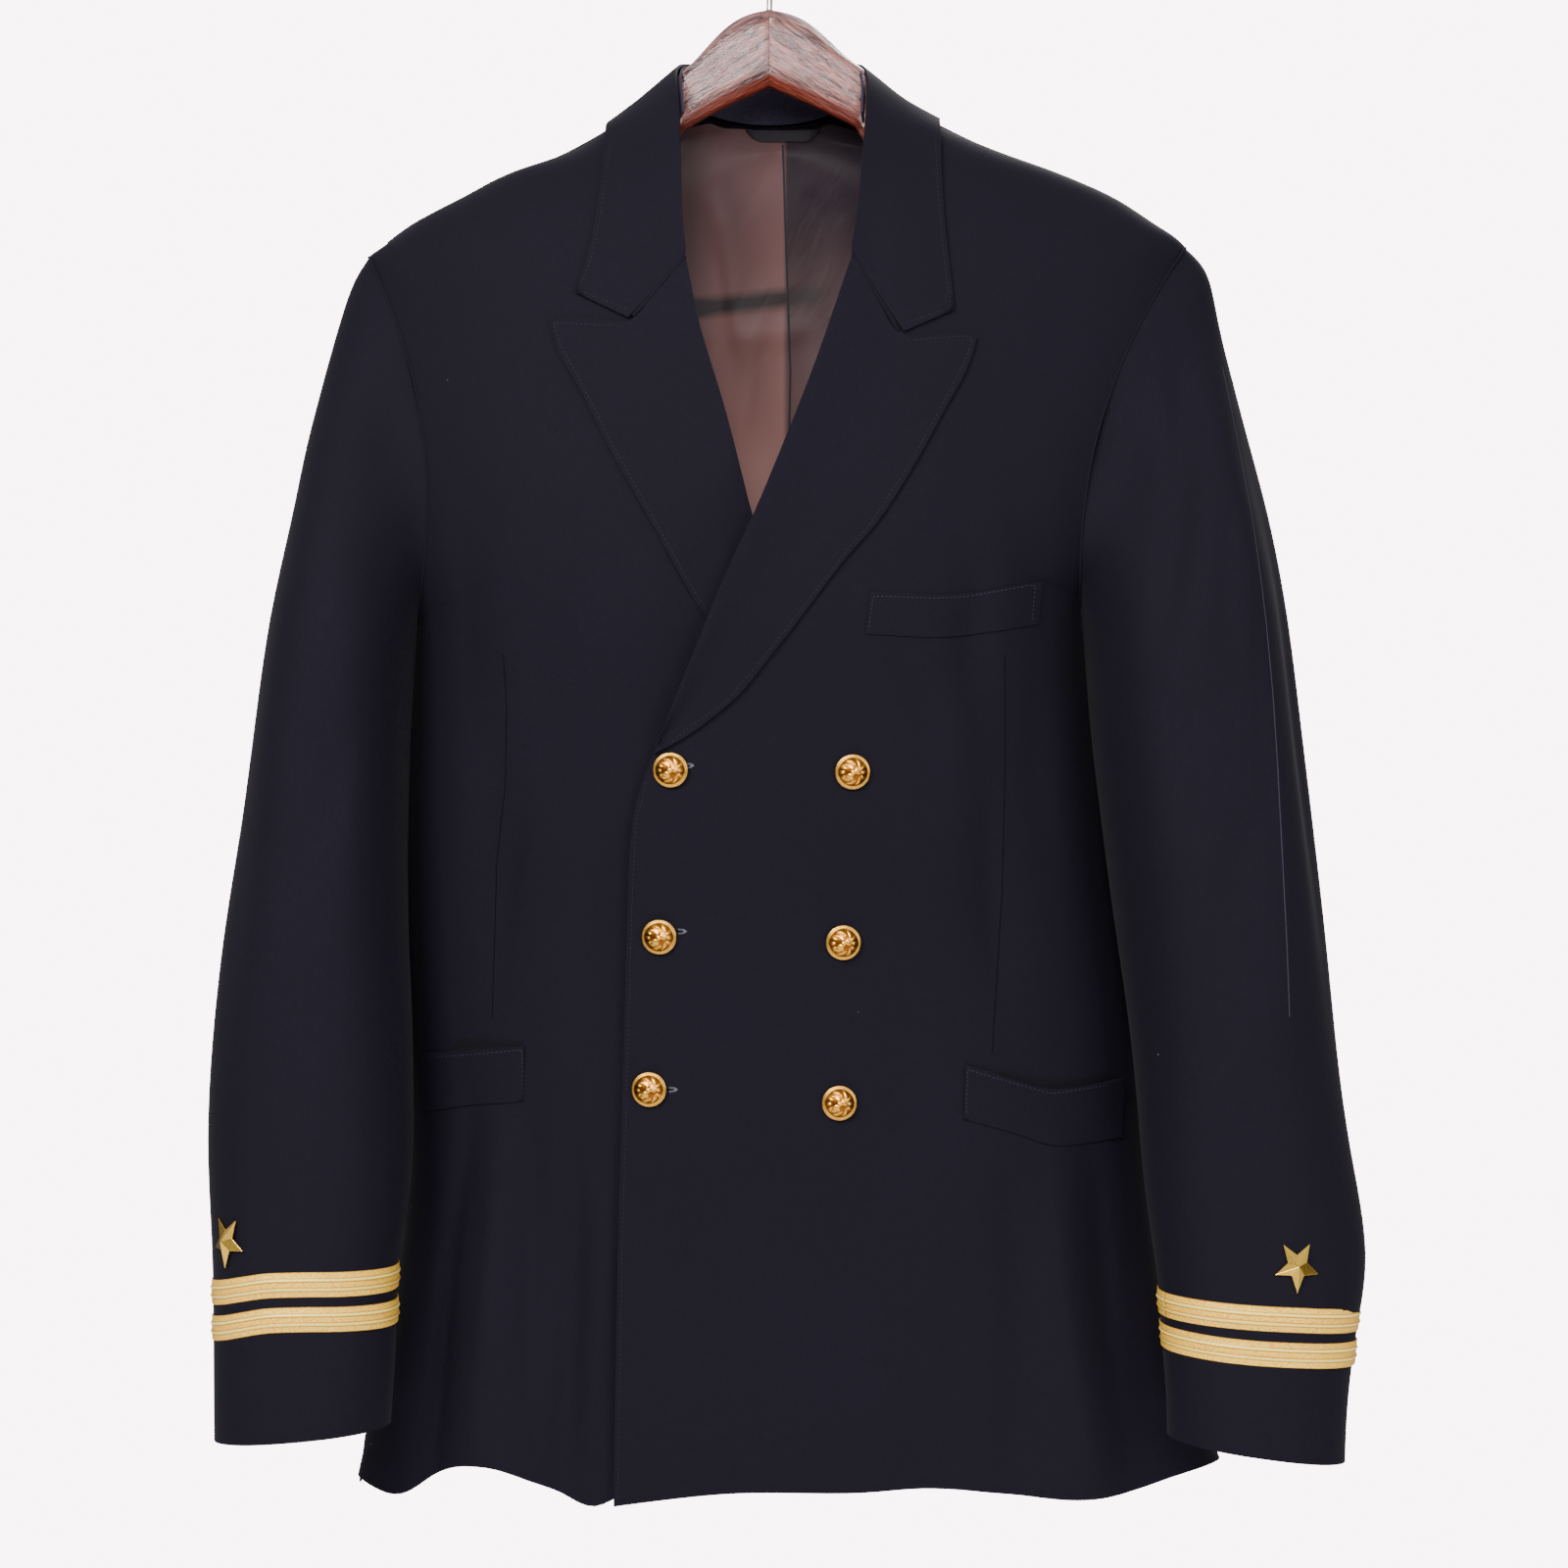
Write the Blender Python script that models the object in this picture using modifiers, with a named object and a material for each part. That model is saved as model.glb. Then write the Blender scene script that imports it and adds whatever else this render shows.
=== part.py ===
"""Naval service dress jacket, double breasted, hanging on a wooden hanger with a steel hook.

Left and right are the wearer's. The front faces -Y, so the left side is at +X.
The origin is where a rod touches the inside of the hook's crown. Tables are in millimetres.
"""
import math

import bmesh
import bpy
import numpy as np
from mathutils import Vector
from mathutils.bvhtree import BVHTree

MM = 0.001

# Cloth
WALL = 1.6              # thickness of the wool with its canvas
SEAM = 0.5              # half of the gap at a seam, at the outer face
LAY = 0.8               # air between a piece and the panel that it lies on
ROUNDNESS = 2.4         # power of the body's cross-section, 2 is an ellipse
OVERLAP_STEP = 5.0      # how far the under front lies behind the over front
UNDERARM_RIGHT = (-189, -395)
UNDERARM_LEFT = (166.5, -385)
TIP_RIGHT = (-215.5, -196)
TIP_LEFT = (224, -191)
ARMHOLE_DIP = 20        # how far an armhole curves in at the middle of its height

# Body: height, half width on the right and on the left, depth before and behind, side seam
BODY = (
    (-105.5, 51, 50, 16, 38, 0),
    (-127.3, 87, 95, 34, 50, 0),
    (-139.7, 107, 124, 42, 54, 0),
    (-152.5, 143, 159, 48, 58, 0),
    (-165, 167, 187, 52, 61, 0),
    (-177.3, 190, 206, 56, 63, 0),
    (-191, 208.5, 224, 59, 65, 0),
    (-196, 215.5, 225, 60, 66, 0),
    (-225, 219, 222, 65, 69, 0),
    (-260, 219, 216, 70, 73, 0),
    (-295, 217, 206, 74, 76, 0),
    (-330, 211, 194, 77, 77, 0),
    (-360, 203, 180, 78, 77, 0),
    (-385, 192, 166.5, 78, 77, 0),
    (-397, 188.5, 166, 78, 76, 1),
    (-450, 191, 171.5, 77, 74, 7),
    (-500, 194, 178, 75, 72, 10),
    (-550, 195.5, 185.5, 72, 70, 14),
    (-600, 195, 195, 70, 68, 16),
    (-650, 195, 201, 68, 66, 17),
    (-700, 197, 206, 66, 64, 17),
    (-750, 203, 213, 64, 64, 17),
    (-800, 212, 228, 63, 65, 17),
    (-865, 226, 252, 62, 67, 17),
)

# Folds: face, place at the top and bottom, width, depth (out is positive), 1 if it runs out at the hem
FOLDS = (
    ("front", -161, -655, -176, -850, 13, -7, 1),
    ("front", -146, -640, -150, -850, 13, 5, 1),
    ("front", -118, -600, -108, -865, 13, -5, 1),
    ("front", -141, -400, -148, -620, 14, -3, 0),
    ("front", 125, -390, 118, -640, 14, -3, 0),
    ("front", 145, -680, 165, -865, 22, 6, 1),
    ("front", 184, -680, 208, -865, 15, -5, 1),
    ("front", 95, -680, 86, -865, 18, -4, 1),
    ("front", 104, -320, 108, -480, 10, -3, 0),
    ("back", -95, -280, -110, -865, 28, -7, 1),
    ("back", -40, -450, -45, -865, 22, 4, 1),
    ("back", 85, -280, 105, -865, 28, -7, 1),
    ("back", 40, -420, 38, -865, 22, 4, 1),
)

# Left front: its free edge from the neck down the roll line and the front edge, across and up
LEFT_FRONT_EDGE = (
    (53, -107), (54, -133), (51, -163), (45, -198), (36, -226), (24, -261), (6, -307), (-7, -338),
    (-23, -373), (-42, -419), (-57, -457), (-66, -478), (-71.8, -500), (-74, -540), (-77, -633),
    (-80, -735), (-82.3, -862.2),
)
# Right front: the same, below the other front from the break of the lapels down
RIGHT_FRONT_EDGE = (
    (-52, -105), (-52.5, -141), (-50, -178), (-45, -203), (-35.5, -243), (-23, -284), (-9, -339),
    (5, -373), (23, -416), (45, -458), (60, -478), (68, -500), (72, -540), (75, -650), (77, -750),
    (78, -851),
)
# Hems, from the free edge to the side
LEFT_HEM = (
    (-82.3, -862.2), (-64, -860), (-25, -855), (8, -854.5), (42, -855), (86, -853), (139, -857),
    (172, -859.5), (194, -858), (218, -852.5), (243, -847), (252, -846),
)
RIGHT_HEM = (
    (78, -851), (0, -851), (-74, -854), (-85, -860), (-97, -864), (-108, -860), (-115, -853), (-130, -849.5),
    (-140, -844.5), (-157, -842.5), (-174, -845), (-181, -848), (-185, -854), (-198, -860),
    (-206, -861.5), (-216, -857.5), (-226, -855),
)
BACK_HEM = (
    (-226, -855), (-180, -856), (-120, -852), (-60, -856), (0, -854), (60, -857), (120, -854),
    (190, -850), (252, -846),
)
# The neck seam across the back
BACK_NECK = ((-52, -104.8), (-49, -107), (-46, -109), (-40, -111.5), (-30, -114.5), (0, -117),
             (30, -114.5), (40, -111.5), (46, -109), (50, -107), (53, -106.8))

# Lapels: roll line, outer edge, top with its notch, and the short end at the break
LEFT_LAPEL_ROLL = (
    (43.4, -204), (36, -226), (24, -261), (6, -307), (-7, -338), (-23, -373), (-42, -419), (-57, -457),
)
LEFT_LAPEL_EDGE = (
    (108.6, -246.3), (104.6, -260), (93, -282), (76, -313), (54, -347), (43, -359), (16, -394),
    (-3.4, -418.6), (-21, -439), (-38.6, -451), (-49.4, -460), (-60, -464),
)
LEFT_LAPEL_TOP = ((43.4, -204), (54.1, -223.6), (68.8, -248.3), (103.5, -243.7), (108.6, -246.3))
RIGHT_LAPEL_ROLL = (
    (-43.4, -205), (-35.5, -243), (-23, -284), (-9, -339), (5, -373), (23, -416), (44, -457),
)
RIGHT_LAPEL_EDGE = (
    (-114.2, -236.8), (-111, -251), (-100, -271), (-83, -305), (-61.4, -343.5), (-43, -377),
    (-31.6, -395.4), (-15, -420), (10, -443), (32, -458), (48, -465),
)
RIGHT_LAPEL_TOP = ((-43.4, -205), (-56, -221), (-73.3, -239.6), (-92.6, -237.6), (-114.2, -236.8))
ROLL_RISE = 3.0         # how far a lapel stands off the front beside its roll line

# Collar: fold x y z, middle x z and its rise, outer edge x z, from the gorge back to the nape
COLLAR_RIGHT = (
    (-43.6, -65.5, -203.4, -73.4, -236.6, 0, -101.3, -222.8),
    (-44.8, -63.5, -190, -69, -214, 1, -95.5, -205),
    (-46, -58.5, -168, -67, -185, 2, -90.5, -180),
    (-47, -50, -144, -66.5, -158, 2, -88, -158),
    (-47.5, -38, -122, -66, -136, 2, -86.5, -141),
    (-48, -24, -106, -66, -122, 2, -85.8, -131),
    (-47.8, -10, -97, -66, -115.5, 2, -85.3, -126),
    (-46.5, 4, -91, -66, 0, 3, -85, 0),
    (-43, 16, -88, -64, -115.5, 4, -83.5, -126.5),
    (-36, 28, -86, -58, -118, 5, -79, -130),
    (-26, 38, -84.6, -45, -115, 7, -65, -132),
    (-14, 44, -84, -27, -111, 8, -38, -132.5),
)
COLLAR_NAPE = (0, 46, -84, 0, -109, 9, 0, -133)
COLLAR_LEFT = (
    (43.3, -65.5, -202.6, 70.4, -243.9, 0, 96.9, -232),
    (45.5, -62.5, -186, 67, -221, 1, 95, -214),
    (48, -57, -163, 66, -192, 2, 92.5, -190),
    (50, -49, -142, 67, -162, 2, 91, -165),
    (51.3, -38, -122, 68, -138, 2, 90.5, -147),
    (51, -24, -107, 69, -124, 2, 90.2, -134),
    (49.5, -10, -97, 69.5, -117.5, 2, 90, -125.5),
    (47.5, 4, -91, 69.5, 0, 3, 90, 0),
    (44, 16, -88, 66.5, -117, 4, 88, -126.5),
    (36, 28, -86, 59.5, -118.5, 5, 83, -130),
    (26, 38, -84.6, 45, -115, 7, 67, -132),
    (14, 44, -84, 27, -111, 8, 38, -132.5),
)
# Collar stand: foot x y z, its head lies inside the fold of the same row, from the neck side to the nape
STAND_FIRST_ROW = 4
STAND_RIGHT = ((-49.6, -29, -128), (-49.6, -18, -114), (-49.4, -7, -106.5), (-49, 4, -104),
               (-47.4, 14, -104.5), (-43, 25.5, -108), (-33.5, 33.7, -112.3), (-17, 40.1, -115.9))
STAND_NAPE = (0, 41.7, -116.9)
STAND_LEFT = ((50.4, -29, -128), (50.4, -18, -115), (50, -7, -108), (49.6, 4, -105.5),
              (47.8, 14, -105.5), (43, 25.5, -108.5), (33.5, 33.7, -112.3), (17, 40.1, -115.9))
STAND_INSET = 2.3

# Back lining: share of the way down, half width
LINING = ((0, 34), (0.03, 48), (0.1, 98), (0.25, 138), (0.6, 156), (1, 148))
LINING_FOOT = -400

# Sleeves, seen from the front: height, x
RIGHT_SLEEVE_OUTER = (
    (-196, -215.5), (-202.5, -220), (-217, -226), (-243, -234), (-270.5, -242), (-305, -250),
    (-335, -255), (-373, -263), (-424, -271), (-480, -277), (-538, -286), (-617, -294), (-680, -295.7),
    (-717, -292.2), (-743, -291), (-822, -289.7),
)
RIGHT_SLEEVE_INNER = (
    (-395, -189), (-430, -191.5), (-462, -193.3), (-533, -194.4), (-586, -191.5), (-638, -189),
    (-678, -189), (-712, -190.5), (-734, -195.6), (-757, -195.4), (-805, -197.3), (-814, -198),
)
LEFT_SLEEVE_OUTER = (
    (-191, 224), (-196.5, 231), (-208.5, 236), (-233, 242), (-262, 249), (-295, 257), (-322, 264),
    (-348, 270), (-389, 277), (-421, 281), (-478, 287), (-555, 294.5), (-613, 299), (-670, 306),
    (-704, 311), (-727, 313.3), (-753, 309), (-781, 306), (-808, 302), (-833, 301),
)
LEFT_SLEEVE_INNER = (
    (-385, 166.5), (-408, 169.5), (-462, 173.7), (-506, 179), (-554, 184.7), (-602, 191),
    (-638, 194.7), (-678, 197), (-717, 201.4), (-746, 205), (-765, 205.7), (-797, 208), (-820, 208.5),
)
# Sleeve rings: share of the outer and of the inner length, half depth, middle, share of the free shape
SLEEVE_RINGS = (
    (0.0, 0.0, 48, 0, 0),
    (0.02, 0.004, 52, 0, 0.1),
    (0.055, 0.012, 58, -1, 0.3),
    (0.10, 0.025, 65, -3, 0.55),
    (0.16, 0.045, 71, -5, 0.78),
    (0.23, 0.08, 75, -8, 0.94),
    (0.31, 0.15, 76, -11, 1),
    (0.40, 0.26, 74, -16, 1),
    (0.49, 0.38, 70, -22, 1),
    (0.58, 0.49, 65, -29, 1),
    (0.67, 0.60, 59, -37, 1),
    (0.75, 0.71, 53, -45, 1),
    (0.83, 0.81, 47, -53, 1),
    (0.89, 0.88, 43, -58, 1),
    (0.95, 0.945, 41, -61, 1),
    (1.0, 1.0, 40, -62, 1),
)
SLEEVE_SQUARE = 0.12    # how far a free ring's shape goes from an ellipse towards a box
# Ring angles of one half, from the top of the shoulder over the front to the underarm
HALF_TURN = (0, 6, 15, 27, 42, 58, 76, 94, 112, 130, 148, 164, 180)
HIND_SEAM = -58
FORE_SEAM = 196
SEAM_ANGLE = 0.5
# Sleeve folds: side, angle, height at the top and bottom, angular width, depth (out is positive)
SLEEVE_FOLDS = (
    ("left", 52, -235, -660, 12, 3.5),
    ("left", 27, -235, -660, 11, -4.5),
    ("left", 100, -230, -390, 14, -5),
    ("left", 84, -430, -560, 16, -3),
    ("right", 70, -215, -330, 14, -3.5),
    ("right", 92, -400, -560, 16, -4),
    ("right", 40, -480, -640, 14, -2.5),
)

# Lace: side, height of the upper edge at the outer side, at the middle and at the inner side
LACE_WIDTH = 13
LACE_PROUD = 1.5
LACES = (
    ("lace_right_upper", "right", -738.6, -730.5, -731),
    ("lace_right_lower", "right", -757, -748.3, -749),
    ("lace_left_upper", "left", -752, -748, -744.5),
    ("lace_left_lower", "left", -769.5, -766, -761.5),
)
# Stars: side, x, height, radius
STAR_RADIUS = 14
STAR_GAP = 1.2
STAR_EDGE = 0.8
STAR_HEIGHT = 3.0
STARS = (("star_left", "left", 271, -727.5), ("star_right", "right", -279, -716))

# Buttons: x, height
BUTTON_RADIUS = 9.4
BUTTON_HEIGHT = 7.2
BUTTONS = (
    ("button_a1", -51.2, -472.4), ("button_a2", -57.4, -560), ("button_a3", -63, -640.6),
    ("button_b1", 43.6, -473.4), ("button_b2", 39, -563), ("button_b3", 37, -647.7),
)

# Welts: top, bottom, how far the upper edge gapes
WELTS = (
    ("breast_welt", "left", ((52.4, -380.2), (85.7, -381.2), (102.6, -380.2), (142.5, -373)),
     ((49.9, -401.7), (85.7, -403.2), (106.7, -401.2), (140.5, -395.5)), 0.3),
    ("pocket_welt_right", "right", ((-128.6, -618.5), (-170.6, -623.2), (-183, -624.8)),
     ((-130.1, -648), (-160.7, -651.2), (-183, -655.9)), 3.5),
    ("pocket_welt_left", "left", ((102.9, -628.1), (119.9, -633.3), (149.8, -642.1), (186.5, -638)),
     ((102.4, -657), (128.2, -664.3), (153.5, -672), (186.5, -669.6)), 4.5),
)

# Hanger: x, top, bottom, thickness; its arms follow the shoulder line
ARM_CLEARANCE = 1.4
HANGER_CENTRE = (
    (-46.5, -109.5, -127.5, 14), (-42, -99, -125, 15), (-38, -91, -122.4, 16),
    (-29, -77.5, -117.7, 17), (-15, -66.5, -110.5, 18), (0, -62.5, -103.3, 18),
    (15, -66.2, -110.5, 18), (29, -76, -117.5, 17), (39, -89.5, -122, 16),
    (43, -100, -124, 15), (47, -111, -127, 14),
)
HANGER_ARM = ((54, 27), (70, 26), (90, 24.5), (110, 23), (135, 21), (160, 18), (185, 14), (202, 10))
HANGER_THICKNESS = 15
HANGER_END_THICKNESS = 11

# Hook: a rod that bends from the hanger's top round a circle
ROD_RADIUS = 1.6
CROWN_RADIUS = 20
HOOK_SHANK = ((0, -62), (0, -54))
HOOK_NECK = ((0.8, -49.5), (3.5, -45.5), (7.5, -42.3))
HOOK_START = -52
HOOK_END = 200
HOOK_STEP = 14

# Loop: a strip of tape at the nape
LOOP_WIDTH = 41
LOOP_HEIGHT = 5.6
LOOP_MIDDLE = (7.4, -121.5)


# Start from an empty scene
for thing in list(bpy.data.objects):
    bpy.data.objects.remove(thing, do_unlink=True)
jacket = bpy.data.collections.new("naval_service_dress_jacket")
bpy.context.scene.collection.children.link(jacket)


def curve(keys, values):
    """A smooth reading of a table, which never overshoots its values."""
    keys = np.array(keys, float)
    values = np.array(values, float)
    if keys[0] > keys[-1]:
        keys, values = keys[::-1], values[::-1]
    steps = np.diff(keys)
    rises = np.diff(values) / steps
    slopes = np.zeros(len(keys))
    for i in range(1, len(keys) - 1):
        if rises[i - 1] * rises[i] > 0:
            slopes[i] = 2 * rises[i - 1] * rises[i] / (rises[i - 1] + rises[i])
    slopes[0], slopes[-1] = rises[0], rises[-1]

    def read(at):
        at = min(max(at, keys[0]), keys[-1])
        i = min(max(int(np.searchsorted(keys, at)) - 1, 0), len(steps) - 1)
        u = (at - keys[i]) / steps[i]
        start = values[i] * (1 + 2 * u) * (1 - u) ** 2 + slopes[i] * steps[i] * u * (1 - u) ** 2
        end = values[i + 1] * u * u * (3 - 2 * u) + slopes[i + 1] * steps[i] * u * u * (u - 1)
        return float(start + end)

    return read


def path(points, sharp=False):
    """A line through points, read from 0 at its start to 1 at its end."""
    points = [np.array(point, float) for point in points]
    along = [0.0]
    for a, b in zip(points, points[1:]):
        along.append(along[-1] + float(np.linalg.norm(b - a)))
    shares = [length / along[-1] for length in along]
    columns = list(zip(*points))
    if sharp:
        return lambda t: np.array([float(np.interp(t, shares, column)) for column in columns])
    readers = [curve(shares, column) for column in columns]
    return lambda t: np.array([read(t) for read in readers])


def ease(share):
    """Runs gently from 0 to 1."""
    share = min(max(share, 0.0), 1.0)
    return share * share * (3 - 2 * share)


# Body surface
heights = [row[0] for row in BODY]
width_right = curve(heights, [row[1] for row in BODY])
width_left = curve(heights, [row[2] for row in BODY])
depth_front = curve(heights, [row[3] for row in BODY])
depth_back = curve(heights, [row[4] for row in BODY])
side_seam = curve(heights, [row[5] for row in BODY])
SHOULDER_HEIGHTS = np.linspace(-104, -196, 93)
RIDGE_RIGHT = [width_right(z) for z in SHOULDER_HEIGHTS]
RIDGE_LEFT = [width_left(z) for z in SHOULDER_HEIGHTS]


def ridge(x):
    """Height of the shoulder line at a place across."""
    widths = RIDGE_LEFT if x > 0 else RIDGE_RIGHT
    return float(np.interp(abs(x), widths, SHOULDER_HEIGHTS))


def fold_depth(face, x, z):
    """How far the folds move the cloth outwards at a place."""
    total = 0.0
    for fold_face, x_top, z_top, x_foot, z_foot, width, depth, to_hem in FOLDS:
        if fold_face != face or z > z_top or (z < z_foot and not to_hem):
            continue
        share = min((z_top - z) / (z_top - z_foot), 1.0)
        middle = x_top + (x_foot - x_top) * share
        rise = ease(share * 1.4) if to_hem else math.sin(math.pi * share) ** 2
        total += depth * rise * math.exp(-((x - middle) / width) ** 2)
    return total


def body_y(face, x, z):
    """Depth of the cloth's outer face, front or back, at a place."""
    width = width_left(z) if x > 0 else width_right(z)
    share = min(abs(x) / width, 1.0)
    roundness = (1 - share ** ROUNDNESS) ** (1 / ROUNDNESS)
    fold = fold_depth(face, x, z) * ease((1 - share) * 8)
    if face == "front":
        return side_seam(z) - max(depth_front(z) * roundness + fold, SEAM)
    return side_seam(z) + max(depth_back(z) * roundness + fold, SEAM)


def on_body(face, x, z, out=0.0):
    """A point of the outer face, moved out square to the cloth."""
    step = 0.5
    sign = 1 if face == "back" else -1
    slope_x = (body_y(face, x + step, z) - body_y(face, x - step, z)) / (2 * step)
    slope_z = (body_y(face, x, z + step) - body_y(face, x, z - step)) / (2 * step)
    normal = Vector((-sign * slope_x, sign, -sign * slope_z)).normalized()
    return Vector((x, body_y(face, x, z), z)) + normal * out


def on_ridge(x, out):
    """A point over the shoulder line."""
    slope = (ridge(x + 2) - ridge(x - 2)) / 4
    return Vector((x, 0, ridge(x))) + Vector((-slope, 0, 1)).normalized() * out


# Making the pieces
def finish(name, colour, roughness, metallic=0.0):
    """A plain material of one colour."""
    material = bpy.data.materials.new(name)
    material.use_nodes = True
    shader = material.node_tree.nodes["Principled BSDF"]
    shader.inputs["Base Color"].default_value = (*colour, 1)
    shader.inputs["Roughness"].default_value = roughness
    shader.inputs["Metallic"].default_value = metallic
    material.diffuse_color = (*colour, 1)
    return material


def add(name, mesh, material):
    """Puts a finished mesh into the jacket."""
    thing = bpy.data.objects.new(name, mesh)
    jacket.objects.link(thing)
    mesh.materials.append(material)
    return thing


def cloth(name, rows, material, wall=WALL, centre=None, ring=False):
    """A shell over a grid of points, thickened inwards. Rows run down and may close to a ring."""
    centre = centre or (lambda point: Vector((0, 0, point.z)))
    mesh = bpy.data.meshes.new(name)
    shape = bmesh.new()
    across = len(rows[0])
    bmesh.ops.create_grid(shape, x_segments=across - 1, y_segments=len(rows) - 1, size=1)
    shape.verts.ensure_lookup_table()
    for r, row in enumerate(rows):
        for c, point in enumerate(row):
            shape.verts[r * across + c].co = Vector(point) * MM
    if ring:
        bmesh.ops.remove_doubles(shape, verts=shape.verts, dist=0.00001)
    shape.normal_update()
    facing = 0.0
    for face in shape.faces:
        middle = face.calc_center_median()
        facing += face.calc_area() * face.normal.dot(middle - centre(middle / MM) * MM)
    if facing < 0:
        bmesh.ops.reverse_faces(shape, faces=shape.faces)
    shape.to_mesh(mesh)
    tree = BVHTree.FromBMesh(shape)
    shape.free()
    mesh.shade_smooth()
    thing = add(name, mesh, material)
    thickness = thing.modifiers.new("wall", "SOLIDIFY")
    thickness.thickness = wall * MM
    thickness.offset = -1
    return thing, tree


def on_panel(tree, face, x, z, out=0.0):
    """A point on a made panel, moved out square to it. Beside the panel the body's form goes on."""
    way = 1 if face == "front" else -1
    start = Vector((x, -300 * way, z)) * MM
    hit, normal, _, _ = tree.ray_cast(start, Vector((0, way, 0)))
    if hit is None:
        hit, normal, _, _ = tree.find_nearest(on_body(face, x, z) * MM)
        if (hit / MM - on_body(face, x, z)).length > 12:
            return on_body(face, x, z, out)
        flat = on_body(face, x, z)
        hit = Vector((flat.x, hit.y / MM, flat.z)) * MM
    if normal.y * way > 0:
        normal = -normal
    return hit / MM + normal * out


def patch(inner, outer, top, foot, across, down):
    """A grid of x and z between four edges."""
    grid = []
    for t in down:
        row = []
        for s in across:
            ruled = (1 - s) * inner(t) + s * outer(t) + (1 - t) * top(s) + t * foot(s)
            corners = (1 - s) * (1 - t) * top(0) + s * (1 - t) * top(1)
            corners = corners + (1 - s) * t * foot(0) + s * t * foot(1)
            row.append(ruled - corners)
        grid.append(row)
    return grid


wool = finish("navy wool", (0.014, 0.016, 0.030), 0.85)
satin = finish("brown satin", (0.13, 0.07, 0.065), 0.45)
lace_gold = finish("gold lace", (0.62, 0.42, 0.15), 0.45, 0.6)
gilt = finish("gilt brass", (0.80, 0.55, 0.22), 0.25, 1.0)
mahogany = finish("lacquered mahogany", (0.10, 0.022, 0.016), 0.2)
steel = finish("hook steel", (0.62, 0.62, 0.63), 0.25, 1.0)


# Armholes: the ring that the fronts, the back and a sleeve share
def armhole(side, angle):
    """Place across and height on an armhole, by its angle from the shoulder tip."""
    tip, underarm = (TIP_LEFT, UNDERARM_LEFT) if side == "left" else (TIP_RIGHT, UNDERARM_RIGHT)
    turn = math.radians(angle)
    dip = -ARMHOLE_DIP if side == "left" else ARMHOLE_DIP
    x = (tip[0] + underarm[0]) / 2 + (tip[0] - underarm[0]) / 2 * math.cos(turn)
    z = (tip[1] + underarm[1]) / 2 + (tip[1] - underarm[1]) / 2 * math.cos(turn)
    return x + dip * math.sin(turn) ** 2, z


def sides(side, hem_end):
    """Points down the armhole and on down the side seam, as x and z."""
    points = [armhole(side, angle) for angle in HALF_TURN]
    start = points[-1][1]
    rows = 17
    for i in range(1, rows + 1):
        z = start + (hem_end - start) * i / rows
        points.append(((width_left(z) if side == "left" else -width_right(z)), z))
    return [np.array(point) for point in points]


def settled(points):
    """Shares of length down a list of points, one for each row."""
    along = [0.0]
    for a, b in zip(points, points[1:]):
        along.append(along[-1] + float(np.linalg.norm(b - a)))
    return [length / along[-1] for length in along]


ACROSS_FRONT = (0, 0.1, 0.2, 0.3, 0.4, 0.48, 0.55, 0.61, 0.67, 0.73, 0.79, 0.85, 0.91, 0.96, 0.994, 1)


def front_grid(side, free_edge, hem):
    """The x and z of a front, rows down and columns from the free edge out."""
    outer_points = sides(side, hem[-1][1])
    shares = settled(outer_points)
    read_edge = path(((free_edge[0][0], ridge(free_edge[0][0])),) + free_edge[1:])
    outer = dict(zip(shares, outer_points))
    tip = outer_points[0]
    neck = read_edge(0)
    top = lambda s: np.array([neck[0] + (tip[0] - neck[0]) * s, ridge(neck[0] + (tip[0] - neck[0]) * s)])
    return patch(read_edge, lambda t: outer[t], top, path(hem), ACROSS_FRONT, shares)


left_edge_x = curve([point[1] for point in LEFT_FRONT_EDGE], [point[0] for point in LEFT_FRONT_EDGE])


def under(x, z):
    """How far the right front lies behind the left one, 0 beside it and 1 below it."""
    if z > -300:
        return 0.0
    return ease((x - left_edge_x(z) + 26) / 22)


left_grid = front_grid("left", LEFT_FRONT_EDGE, LEFT_HEM)
left_rows = [[Vector((x, body_y("front", x, z), z)) for x, z in row] for row in left_grid]
front_left, left_tree = cloth("front_left", left_rows, wool)

right_grid = front_grid("right", RIGHT_FRONT_EDGE, RIGHT_HEM)
right_rows = []
for row in right_grid:
    right_rows.append([on_body("front", x, z, -OVERLAP_STEP * under(x, z)) if under(x, z) > 0
                       else Vector((x, body_y("front", x, z), z)) for x, z in row])
front_right, right_tree = cloth("front_right", right_rows, wool)

# Back
ACROSS_BACK = (0, 0.003, 0.02, 0.06, 0.12, 0.19, 0.26, 0.325, 0.372, 0.40, 0.44, 0.49, 0.54, 0.58,
               0.61, 0.66, 0.72, 0.79, 0.86, 0.93, 0.98, 0.997, 1)
right_side = sides("right", RIGHT_HEM[-1][1])
left_side = sides("left", LEFT_HEM[-1][1])
back_shares = settled(right_side)
right_by_share = dict(zip(back_shares, right_side))
left_by_share = dict(zip(back_shares, left_side))
neck_x = [point[0] for point in BACK_NECK]
neck_z = [point[1] for point in BACK_NECK]
neck_z[0], neck_z[-1] = ridge(neck_x[0]), ridge(neck_x[-1])


def back_top(s):
    x = TIP_RIGHT[0] + (TIP_LEFT[0] - TIP_RIGHT[0]) * s
    if neck_x[0] < x < neck_x[-1]:
        return np.array([x, float(np.interp(x, neck_x, neck_z))])
    return np.array([x, ridge(x)])


back_grid = patch(lambda t: right_by_share[t], lambda t: left_by_share[t], back_top, path(BACK_HEM),
                  ACROSS_BACK, back_shares)
back_rows = [[Vector((x, body_y("back", x, z), z)) for x, z in row] for row in back_grid]
back, back_tree = cloth("back", back_rows, wool)

# Lapels
ACROSS_LAPEL = (0, 0.1, 0.22, 0.36, 0.5, 0.66, 0.83, 1)
DOWN_LAPEL = [i / 15 for i in range(16)]


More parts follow.
